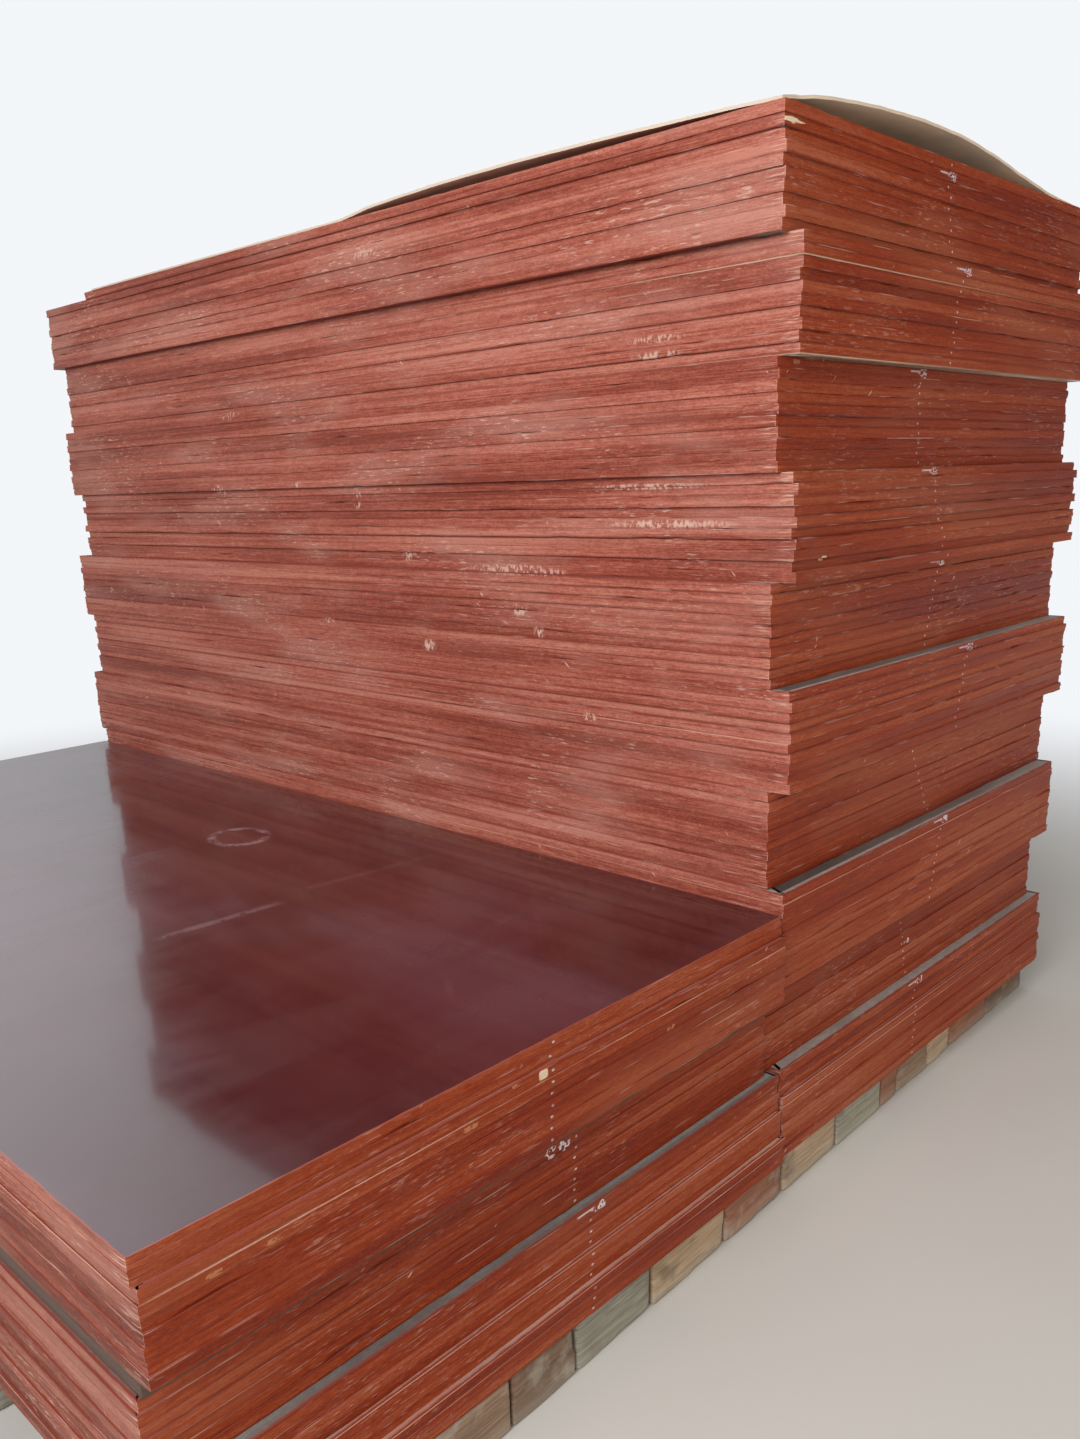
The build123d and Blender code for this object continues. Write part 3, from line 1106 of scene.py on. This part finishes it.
def sheet_boxes(node: Object, least_gap: float = 1e-4) -> list[SheetBox]:
    """Finds the sheets of a node from their heights.

    Args:
        node: the solids' node, with sheets that don't touch.
        least_gap: two heights that are closer than this are one.

    Returns:
        The sheets from the lowest up.
    """
    points = np.array([v.co for v in node.data.vertices])
    heights = np.sort(points[:, 2])
    levels = [heights[0]]
    for height in heights[1:]:
        if height - levels[-1] > least_gap:
            levels.append(height)
    boxes = []
    for low, high in zip(levels[0::2], levels[1::2]):
        own = points[(points[:, 2] > low - least_gap / 2.0) & (points[:, 2] < high + least_gap / 2.0)]
        boxes.append(SheetBox(own.min(0), own.max(0)))
    return boxes


def make_blank(name: str, box: SheetBox, fill: FaceFill) -> Object:
    """Makes the sheet that a laying tree copies.

    Args:
        name: the object's name.
        box: a sheet's place, for its size.
        fill: how its upper face is filled.

    Returns:
        The object, hidden from renders.
    """
    width, length, thickness = (float(s) for s in box.size)
    blank = new_object(name, SheetBlank(width, length, thickness, fill).mesh(name))
    blank.hide_render = True
    return blank


class Ledge(Enum):
    """What lies on the strip of film that a tier's top sheet shows under the next tier."""

    DUSTY = "dusty"
    PAINTED = "painted"
    WORN = "worn"


@dataclass(frozen=True)
class Tier:
    """One shifted part of a pile: its node, and where its tally dots run, at its top and at its foot.

    Crests are the numbers of the sheets whose upper arris is pale, from the lowest, which is 0.
    """

    node: str
    mark_top: float
    mark_foot: float
    ticked: bool = True
    # Lipped: its lowest sheet has a pale bare lower arris, and a painted reflection on its film underneath.
    lipped: bool = False
    crests: tuple[int, ...] = ()
    ledge: Ledge = Ledge.DUSTY
    # Whether its sheets' edges are darkened: dirt and painted shade of a hollow.
    soiled: bool = False

    def points(self, boxes: list[SheetBox], top_shows: bool) -> Object:
        """Makes the points that the tier's sheets are laid on.

        Args:
            boxes: its sheets' places.
            top_shows: whether the upper face of its top sheet shows.

        Returns:
            An object with one point a sheet.
        """
        mesh = bpy.data.meshes.new(f"{self.node}_points")
        mesh.from_pydata([tuple(box.middle) for box in boxes], [], [])
        count = len(boxes)
        share = np.linspace(0.0, 1.0, count) if count > 1 else np.array([1.0])
        tick, lip, crest, shown = np.zeros(count), np.zeros(count), np.zeros(count), np.zeros(count, bool)
        tick[-1], lip[0], shown[-1] = self.ticked, self.lipped, top_shows
        crest[list(self.crests)] = 1.0
        store(mesh, "mark_x", self.mark_foot + (self.mark_top - self.mark_foot) * share)
        store(mesh, "tick", tick)
        store(mesh, "lip", lip)
        store(mesh, "soiled", np.full(count, float(self.soiled)))
        store(mesh, "crest", crest)
        store(mesh, "shown", shown, "BOOLEAN")
        return new_object(mesh.name, mesh)


@dataclass(frozen=True)
class SheetPile:
    """A pile of tiers, dressed sheet by sheet over their solids."""

    tiers: tuple[Tier, ...]
    first_seed: int
    top_shows: bool
    films: dict[Ledge, Material]
    top_film: Material
    edge: Material
    laying: LayingTree

    def build(self, nodes: Nodes) -> None:
        """Builds every tier over the solids of its node."""
        for number, tier in enumerate(self.tiers):
            last = tier is self.tiers[-1]
            boxes = sheet_boxes(nodes[tier.node])
            points = tier.points(boxes, last and self.top_shows)
            film = self.top_film if last else self.films[tier.ledge]
            self.laying.lay(points, self.first_seed + number, self.edge, film)
            name = f"{tier.node}_sheets" if len(boxes) > 1 else f"{tier.node}_face"
            mesh = as_plain_mesh(points, name)
            bpy.data.objects.remove(points)
            hand_over(new_object(name, mesh), tier.node)


@dataclass(frozen=True)
class TopSheet:
    """The single shorter sheet on top of the tall pile."""

    tier: Tier
    seed: int
    film: Material
    edge: Material
    wear: EdgeWear

    def build(self, nodes: Nodes) -> None:
        """Builds the sheet over the solid of its node."""
        blank = make_blank("top_blank", sheet_boxes(nodes[self.tier.node])[0], FaceFill.GRID)
        laying = LayingTree(blank, blank, self.wear)
        SheetPile((self.tier,), self.seed, True, {}, self.film, self.edge, laying).build(nodes)
        bpy.data.objects.remove(blank)


class BlockTone(Enum):
    """The stains of the timber blocks."""

    DARK_BROWN = (0.220, 0.135, 0.085)
    BROWN = (0.330, 0.210, 0.135)
    RED_BROWN = (0.340, 0.145, 0.085)
    GREY = (0.340, 0.325, 0.255)
    OLIVE = (0.420, 0.300, 0.185)
    TAN = (0.560, 0.410, 0.270)


@dataclass(frozen=True)
class TimberRow:
    """One row of blocks under the piles, sawn, with rounded, knocked corners and dented faces.

    Knocks is the range of a corner's radius in radii, and shades is the range of a block's tone.
    """

    node: str
    finish: Material
    tones: tuple[BlockTone, ...]
    seed: int
    radius: float = 0.006
    step: float = 0.016
    dent: float = 0.0035
    knocks: Pair = (0.6, 2.6)
    dent_waves: Pair = (20.0, 75.0)
    shades: Pair = (0.85, 1.15)
    on_face: float = 0.93

    def islands(self, node: Object) -> list[np.ndarray]:
        """Finds the row's separate blocks.

        Args:
            node: the row's solids.

        Returns:
            Each block's eight corners, from the lowest x on.
        """
        made = bmesh.new()
        made.from_mesh(node.data)
        bmesh.ops.remove_doubles(made, verts=made.verts, dist=10.0 * TOUCHING)
        left = set(made.verts)
        blocks = []
        while left:
            group = [left.pop()]
            for vertex in group:
                beside = {link.other_vert(vertex) for link in vertex.link_edges} & left
                left -= beside
                group += beside
            blocks.append(np.array([v.co for v in group]))
        made.free()
        return sorted(blocks, key=lambda b: b[:, 0].mean())

    def axes(self, corners: np.ndarray) -> tuple[np.ndarray, np.ndarray, np.ndarray]:
        """Finds how a block lies.

        Args:
            corners: its eight corners.

        Returns:
            Its middle, its axes as rows, and half its sizes.
        """
        middle = corners.mean(0)
        low = corners[corners[:, 2] < middle[2]]
        start = low[np.argmin(low[:, 0] + low[:, 1])]
        others = sorted((p for p in low if np.linalg.norm(p - start) > TOUCHING),
                        key=lambda p: np.linalg.norm(p - start))
        sides = sorted(others[:2], key=lambda p: abs((p - start)[1]))
        along, back = sides[0] - start, sides[1] - start
        size = np.array([np.linalg.norm(along), np.linalg.norm(back), np.ptp(corners[:, 2])])
        rows = np.array([along / size[0], back / size[1], (0.0, 0.0, 1.0)])
        return middle, rows, size / 2.0

    def block(self, half: np.ndarray, chance: np.random.Generator) -> tuple[np.ndarray, Faces]:
        """Builds a block about its own middle.

        Args:
            half: half its sizes.
            chance: the random numbers that knock it about.

        Returns:
            Its points and its faces.
        """
        stations = [spread(2.0 * h, self.radius / 2.0, self.step, self.radius) for h in half]
        numbers: dict[tuple[int, ...], int] = {}
        faces: Faces = []
        last = [len(s) - 1 for s in stations]
        for axis in range(3):
            one, two = (axis + 1) % 3, (axis + 2) % 3
            for side, a, b in product((0, last[axis]), range(last[one]), range(last[two])):
                quad = []
                for da, db in ((0, 0), (1, 0), (1, 1), (0, 1)):
                    place = [0, 0, 0]
                    place[axis], place[one], place[two] = side, a + da, b + db
                    quad.append(numbers.setdefault(tuple(place), len(numbers)))
                faces.append(tuple(quad if side else quad[::-1]))
        points = np.array([[s[i] for s, i in zip(stations, place)] for place in numbers])
        return self.knocked(points, half, chance), faces

    def knocked(self, points: np.ndarray, half: np.ndarray, chance: np.random.Generator) -> np.ndarray:
        """Rounds a block's arrises, more at some corners, and dents its faces.

        Args:
            points: the block's points.
            half: half its sizes.
            chance: the random numbers that knock it about.

        Returns:
            The moved points.
        """
        corner_radius = self.radius * chance.uniform(*self.knocks, 8)
        which = (points > 0.0) @ np.array([4, 2, 1])
        radius = np.minimum(corner_radius[which], half.min() * 0.6)[:, None]
        core = np.clip(points, -(half - radius), half - radius)
        away = points - core
        length = np.linalg.norm(away, axis=1, keepdims=True)
        least = 0.001 * TOUCHING
        rounded = core + np.where(length > least, away / np.maximum(length, least), 0.0) * np.minimum(length, radius)
        waves = chance.uniform(*self.dent_waves, (6, 3))
        phase = chance.uniform(0.0, 6.28, 6)
        rough = np.sin(points @ waves.T + phase).mean(1, keepdims=True)
        depth = self.dent * (0.5 + rough) * 0.5
        normal = np.where(np.abs(rounded) / half > self.on_face, np.sign(rounded), 0.0)
        return rounded - normal * np.clip(depth, 0.0, None)

    def build(self, nodes: Nodes) -> None:
        """Builds the row over the solids of its node."""
        chance = np.random.default_rng(self.seed)
        points, faces, tones, stains = [], [], [], []
        count = 0
        for number, corners in enumerate(self.islands(nodes[self.node])):
            middle, rows, half = self.axes(corners)
            own, own_faces = self.block(half, chance)
            points.append(own @ rows + middle)
            faces += [tuple(count + i for i in face) for face in own_faces]
            tint = np.array(self.tones[number % len(self.tones)].value) * chance.uniform(*self.shades)
            stains.append(np.tile(np.append(tint, 1.0), (len(own), 1)))
            tones.append(np.full(len(own), chance.uniform()))
            count += len(own)
        mesh = plain_mesh(f"{self.node}_blocks", np.concatenate(points), faces)
        store(mesh, "tone", np.concatenate(tones))
        store(mesh, "stain", np.concatenate(stains), "FLOAT_COLOR")
        mesh.materials.append(self.finish)
        hand_over(new_object(mesh.name, mesh), self.node)


@dataclass(frozen=True)
class CoverBoard:
    """The board laid over the tall pile, with its bowed front, frayed edges and a dent at the front."""

    node: str
    finish: Material
    sway: float
    step: float = 0.022
    fray: float = 0.0012
    fray_waves: Pair = (61.0, 23.0)
    side_fray: float = 0.0010
    side_waves: Pair = (47.0, 17.0)
    dent_x: float = 0.055
    dent_reach: float = 0.011
    dent_length: float = 0.020
    dent_depth: float = 0.012

    def heights(self, node: Object, xs: np.ndarray, ys: np.ndarray) -> tuple[np.ndarray, np.ndarray]:
        """Reads the board's upper and lower face at a grid of places.

        Args:
            node: the board's solid.
            xs: the places across.
            ys: the places along.

        Returns:
            The upper and the lower heights.
        """
        tree = BVHTree.FromPolygons([v.co.copy() for v in node.data.vertices],
                                    [tuple(p.vertices) for p in node.data.polygons])
        inside_x, inside_y = (np.clip(places, places[0] + INSET, places[-1] - INSET) for places in (xs, ys))
        upper, lower = (
            np.array([[tree.ray_cast(Vector((x, y, start)), Vector((0, 0, way)))[0].z for y in inside_y]
                      for x in inside_x])
            for start, way in ((4.0, -1), (0.0, 1))
        )
        return upper, lower

    def worn_plan(self, xs: np.ndarray, ys: np.ndarray) -> tuple[np.ndarray, np.ndarray]:
        """Frays the board's edges and dents its front, seen from above.

        Args:
            xs: the places across.
            ys: the places along.

        Returns:
            The moved places across and along, at each point of the grid.
        """
        plan_x, plan_y = np.meshgrid(xs, ys, indexing="ij")
        short, long = self.fray_waves
        fray = self.fray * (1.0 + np.sin(plan_x * short) * np.sin(plan_x * long + 1.0))
        short, long = self.side_waves
        side = self.side_fray * (1.0 + np.sin(plan_y * short) * np.sin(plan_y * long + 2.0))
        put_x, put_y = plan_x.copy(), plan_y.copy()
        put_y[:, 0] += fray[:, 0]
        put_y[:, -1] -= fray[:, -1]
        put_x[0, :] += side[0, :]
        put_x[-1, :] -= side[-1, :]
        away = (plan_x - xs[0] - self.dent_x) / self.dent_reach
        notch = np.exp(-away * away) * np.exp(-(plan_y - ys[0]) / self.dent_length)
        return put_x, put_y + notch * self.dent_depth

    def build(self, nodes: Nodes) -> None:
        """Builds the board over the solid of its node."""
        low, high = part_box(self.node)
        xs = low.x + (high.x - low.x) * (spread(1.0, 0.004, self.step, 0.03) + 0.5)
        ys = low.y + (high.y - low.y) * (spread(1.0, 0.003, self.step / 2.0, 0.02) + 0.5)
        put_x, put_y = self.worn_plan(xs, ys)
        points = np.concatenate([np.stack([put_x.ravel(), put_y.ravel(), height.ravel()], 1)
                                 for height in self.heights(nodes[self.node], xs, ys)])
        across, along = put_x.shape
        count = across * along
        faces: Faces = []
        for i, j in product(range(across - 1), range(along - 1)):
            a, b = i * along + j, (i + 1) * along + j
            faces += [(a, b, b + 1, a + 1), (count + a + 1, count + b + 1, count + b, count + a)]
        loop = [i * along for i in range(across)] + [(across - 1) * along + j for j in range(1, along)]
        loop += [i * along + along - 1 for i in range(across - 2, -1, -1)] + list(range(along - 2, 0, -1))
        faces += [(a, count + a, count + b, b) for a, b in zip(loop, loop[1:] + loop[:1])]
        mesh = plain_mesh(f"{self.node}_sheet", points, faces)
        rim = np.zeros(2 * count)
        rim[loop] = 1.0
        rim[[count + i for i in loop]] = 1.0
        store(mesh, "rim", rim)
        mesh.materials.append(self.finish)
        crease(mesh)
        piece = new_object(mesh.name, mesh)
        self.settle(piece)
        hand_over(piece, self.node)

    def settle(self, piece: Object) -> None:
        """Lets the board follow the pile under it."""
        tree = GeometryTree("settle_board", {"Sway": "Float", "Finish": "Material"})
        lift = tree.joined(0.0, 0.0, tree.settle())
        moved = tree.shaped("SetPosition", tree.given["Geometry"], Offset=lift)
        real = tree.shaped("RealizeInstances", moved)
        tree.add("NodeGroupOutput", {0: tree.shaped("SetMaterial", real, Material=tree.given["Finish"])})
        tree.work_on(piece, {"Sway": self.sway, "Finish": self.finish})
        mesh = as_plain_mesh(piece, piece.name)
        piece.modifiers.clear()
        piece.data = mesh


# Studio


@dataclass(frozen=True)
class PhotoView:
    """The camera's place and turn, worked out from the object's edges, with the frame that it had."""

    place: Triple = (-1.6702, -2.2498, 1.3222)
    yaw: float = 0.7652
    pitch: float = 0.2737
    roll: float = 0.0337
    focal: float = 1169.1
    frame: Pair = (1080.0, 1439.0)
    middle: Pair = (540.0, 808.0)
    sensor: float = 36.0

    def build(self) -> None:
        """Makes the scene's camera."""
        ahead = Vector((math.cos(self.pitch) * math.cos(self.yaw), math.cos(self.pitch) * math.sin(self.yaw),
                        -math.sin(self.pitch)))
        level = Vector((math.sin(self.yaw), -math.cos(self.yaw), 0.0))
        down = ahead.cross(level)
        right = level * math.cos(self.roll) + down * math.sin(self.roll)
        below = down * math.cos(self.roll) - level * math.sin(self.roll)
        data = bpy.data.cameras.new("photo_view")
        data.sensor_fit = "AUTO"
        data.sensor_width = self.sensor
        long_side = max(self.frame)
        data.lens = self.focal / long_side * self.sensor
        data.shift_x = (self.frame[0] / 2.0 - self.middle[0]) / long_side
        data.shift_y = (self.middle[1] - self.frame[1] / 2.0) / long_side
        data.clip_start, data.clip_end = 0.05, 200.0
        camera = new_object(data.name, data)
        turn = Matrix((right, -below, -ahead)).transposed()
        camera.matrix_world = Matrix.Translation(self.place) @ turn.to_4x4()
        bpy.context.scene.camera = camera


@dataclass(frozen=True)
class SoftLamp:
    """A soft square lamp: where it stands, what it looks at, its side and its power."""

    name: str
    place: Triple
    target: Triple
    side: float
    power: float
    colour: Colour = (1.0, 1.0, 1.0)

    def build(self) -> None:
        """Makes the lamp."""
        data = bpy.data.lights.new(self.name, "AREA")
        data.shape = "SQUARE"
        data.size = self.side
        data.energy = self.power
        data.color = self.colour
        lamp = new_object(self.name, data)
        lamp.location = self.place
        lamp.rotation_euler = (Vector(self.target) - Vector(self.place)).to_track_quat("-Z", "Y").to_euler()


@dataclass(frozen=True)
class Studio:
    """A plain pale floor, a pale surround and soft lamps, brightest from the side of the low pile."""

    surround: Colour = (0.90, 0.92, 0.95)
    floor: Colour = (0.63, 0.60, 0.55)
    floor_mottle: float = 1.06
    ambient: float = 0.17
    mirrored_low: float = 0.70
    mirrored_high: float = 2.1
    reach: float = 60.0
    lamps: tuple[SoftLamp, ...] = (
        SoftLamp("window_side", (-4.5, -2.1, 3.1), (0.0, -0.4, 0.95), 2.6, 225.0, (0.98, 1.0, 1.03)),
        SoftLamp("room_front", (0.2, -6.2, 1.7), (0.3, -0.6, 0.8), 3.5, 92.0, (1.0, 0.90, 0.78)),
        SoftLamp("ceiling", (0.4, -0.6, 4.8), (0.2, 0.0, 0.0), 4.0, 70.0),
    )

    def build(self) -> None:
        """Makes the floor, the surround and the lamps."""
        self.build_floor()
        self.build_surround()
        for lamp in self.lamps:
            lamp.build()
        bpy.context.scene.view_settings.view_transform = "Standard"

    def build_floor(self) -> None:
        """Makes the floor, which fades into the surround far off."""
        signs = np.array([(-1.0, -1.0, 0.0), (1.0, -1.0, 0.0), (1.0, 1.0, 0.0), (-1.0, 1.0, 0.0)])
        mesh = plain_mesh("floor", self.reach * signs, [(0, 1, 2, 3)])
        ground = Surface("pale_floor")
        ground.fix({"Roughness": 0.85})
        shade = ground.span(ground.noise((0.8, 0.8, 0.8), 3.0, 0.6), 0.3, 0.7)
        lighter = tuple(min(1.0, c * self.floor_mottle) for c in self.floor)
        ground.feed(ground.shader.inputs["Base Color"], ground.blend(shade, self.floor, lighter))
        x, y, _ = ground.parts(ground.place)
        away = ground.math("SQRT", ground.plus(ground.squared(x), ground.squared(y)))
        glow = ground.add("ShaderNodeEmission", {"Color": (*self.surround, 1.0), "Strength": 1.0})
        path = ground.add("ShaderNodeLightPath").outputs
        share = ground.times(ground.span(away, 1.9, 5.0), ground.most(path["Is Camera Ray"], path["Is Glossy Ray"]))
        mixed = ground.add("ShaderNodeMixShader", {0: share, 1: ground.shader.outputs[0], 2: glow.outputs[0]})
        ground.feed(ground.output.inputs["Surface"], mixed.outputs[0])
        mesh.materials.append(ground.material)
        new_object(mesh.name, mesh)

    def build_surround(self) -> None:
        """Makes the world: pale where it is seen or mirrored, and an even low light elsewhere."""
        world = bpy.data.worlds.new("surround")
        bpy.context.scene.world = world
        world.use_nodes = True
        world.node_tree.nodes.clear()
        sky = Wiring(world.node_tree)
        path = sky.add("ShaderNodeLightPath").outputs
        x, y, z = sky.parts(sky.add("ShaderNodeTexCoord").outputs["Generated"])
        side = sky.span(sky.total((x, -0.75), (y, 0.65)), -0.30, 0.50, 0.06, 1.0)
        bright = sky.times(side, sky.span(z, 0.12, 0.60, self.mirrored_low, self.mirrored_high))
        strength = sky.most(path["Is Camera Ray"], path["Is Transmission Ray"],
                            sky.times(path["Is Glossy Ray"], bright), self.ambient)
        back = sky.add("ShaderNodeBackground", {"Color": (*self.surround, 1.0), "Strength": strength})
        sky.add("ShaderNodeOutputWorld", {"Surface": back.outputs[0]})


# The whole stack


TALL_TIERS = (
    Tier("tall_tier_01_lower", 0.540, 0.533, False, False, (5, 6), Ledge.PAINTED),
    Tier("tall_tier_01_upper", 0.547, 0.541),
    Tier("tall_tier_02", 0.504, 0.545),
    Tier("tall_tier_03", 0.598, 0.560, crests=(8,)),
    Tier("tall_tier_04", 0.512, 0.603),
    Tier("tall_tier_05", 0.676, 0.640, crests=(4,)),
    Tier("tall_tier_06", 0.606, 0.562),
    Tier("tall_tier_07", 0.500, 0.580),
    Tier("tall_tier_08", 0.488, 0.495),
    Tier("tall_tier_09_lower", 0.560, 0.540, False, True, (), Ledge.PAINTED),
    Tier("tall_tier_09_upper", 0.573, 0.565, lipped=True),
    Tier("tall_tier_10", 0.536, 0.566),
)
LOW_TIERS = (
    Tier("low_tier_01_lower", -0.532, -0.536, False, False, (0, 1, 2), Ledge.WORN),
    Tier("low_tier_01_middle", -0.526, -0.530, False, False, (0, 2), Ledge.WORN),
    Tier("low_tier_01_upper", -0.520, -0.525),
    Tier("low_tier_02", -0.530, -0.538, False),
    Tier("low_tier_03_base", -0.570, -0.570, False, soiled=True),
    Tier("low_tier_03_lower", -0.616, -0.623, False, False, (5,), Ledge.PAINTED),
    Tier("low_tier_03_upper", -0.604, -0.614, False),
)
TOP_TIER = Tier("tall_top_sheet", 0.541, 0.541, False)
LOW_CHIPS = (
    Smear(-0.637, 0.540, 0.010, 0.008, 1.0),
    Smear(-0.775, 0.522, 0.014, 0.004, 0.76),
    Smear(-0.690, 0.545, 0.008, 0.003, 0.76),
    Smear(-1.077, 0.519, 0.014, 0.004, 0.76),
    Smear(-1.151, 0.519, 0.011, 0.004, 0.70),
    Smear(-0.350, 0.500, 0.010, 0.004, 0.7),
)
LOW_SCRIBBLES = (
    Smear(-0.588, 0.380, 0.012, 0.010, 0.9),
    Smear(-0.558, 0.380, 0.012, 0.010, 0.9),
)
FRONT_TONES = (
    BlockTone.BROWN, BlockTone.OLIVE, BlockTone.BROWN, BlockTone.DARK_BROWN, BlockTone.GREY, BlockTone.OLIVE,
    BlockTone.RED_BROWN, BlockTone.TAN, BlockTone.GREY, BlockTone.RED_BROWN, BlockTone.BROWN, BlockTone.TAN,
    BlockTone.RED_BROWN, BlockTone.DARK_BROWN,
)
HIDDEN_TONES = (
    BlockTone.BROWN, BlockTone.TAN, BlockTone.GREY, BlockTone.OLIVE, BlockTone.DARK_BROWN, BlockTone.OLIVE,
    BlockTone.RED_BROWN,
)
BLOCK_ROWS = 5
TALL_SEED, LOW_SEED, TOP_SEED, BLOCK_SEED = 11, 31, 57, 70


def build_piles(nodes: Nodes, wear: EdgeWear) -> None:
    """Dresses every sheet.

    Args:
        nodes: the solids' nodes by name.
        wear: how worn the sheets' edges are.
    """
    edge = PlyEdgePaint().build()
    # The low pile's paint: its long-face copy made darker again, as painted shade on the low pile's long face.
    low_pile_shaded_edge = PlyEdgePaint(name="low_pile_shaded_paint", lit_side_dark=(0.130, 0.024, 0.014), lit_side_body=(0.250, 0.066, 0.040),
                            lit_side_light=(0.400, 0.150, 0.105), lit_side_veil=(0.420, 0.200, 0.150), chips=LOW_CHIPS,
                            scribbles=LOW_SCRIBBLES, smears=()).build()
    covered = FilmFace(name="dusty_film", dust=0.75, least=0.75, gloss=0.15, painted_to=0.03).build()
    low_covered = FilmFace(name="low_dusty_film", dusty=(0.270, 0.245, 0.215), dust=0.75, least=0.75,
                           gloss=0.15).build()
    painted = FilmFace(name="painted_film", film=(0.330, 0.085, 0.048), worn=(0.420, 0.150, 0.095), dust=0.15,
                       gloss=0.1).build()
    rubbed = FilmFace(name="rubbed_film", film=(0.500, 0.250, 0.180), worn=(0.640, 0.420, 0.330), dust=0.25,
                      gloss=0.1).build()
    shown = FilmFace(name="clean_film", dust=0.015, scuffed=True).build()

    one = sheet_boxes(nodes[TALL_TIERS[0].node])[0]
    blank = make_blank("blank", one, FaceFill.PLATE)
    shown_blank = make_blank("shown_blank", one, FaceFill.GRID)
    laying = LayingTree(blank, shown_blank, wear)
    films = {Ledge.DUSTY: covered, Ledge.PAINTED: painted}
    low_films = {Ledge.DUSTY: low_covered, Ledge.PAINTED: painted, Ledge.WORN: rubbed}
    SheetPile(TALL_TIERS, TALL_SEED, False, films, covered, edge, laying).build(nodes)
    SheetPile(LOW_TIERS, LOW_SEED, True, low_films, shown, low_pile_shaded_edge, laying).build(nodes)
    bpy.data.objects.remove(blank)
    bpy.data.objects.remove(shown_blank)
    TopSheet(TOP_TIER, TOP_SEED, covered, edge, wear).build(nodes)


def main() -> None:
    """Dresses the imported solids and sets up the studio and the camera."""
    logging.basicConfig(level=logging.INFO, format="%(message)s")
    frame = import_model()
    nodes = frame["nodes"]
    Studio().build()
    PhotoView().build()
    wear = EdgeWear()
    build_piles(nodes, wear)
    timber = WeatheredTimber().build()
    for number in range(1, BLOCK_ROWS + 1):
        tones = FRONT_TONES if number == 1 else HIDDEN_TONES[number:] + HIDDEN_TONES[:number]
        TimberRow(f"block_row_{number}", timber, tones, BLOCK_SEED + number).build(nodes)
    CoverBoard("cover_board", KraftBoard().build(), wear.sway).build(nodes)


if __name__ == "__main__":
    main()
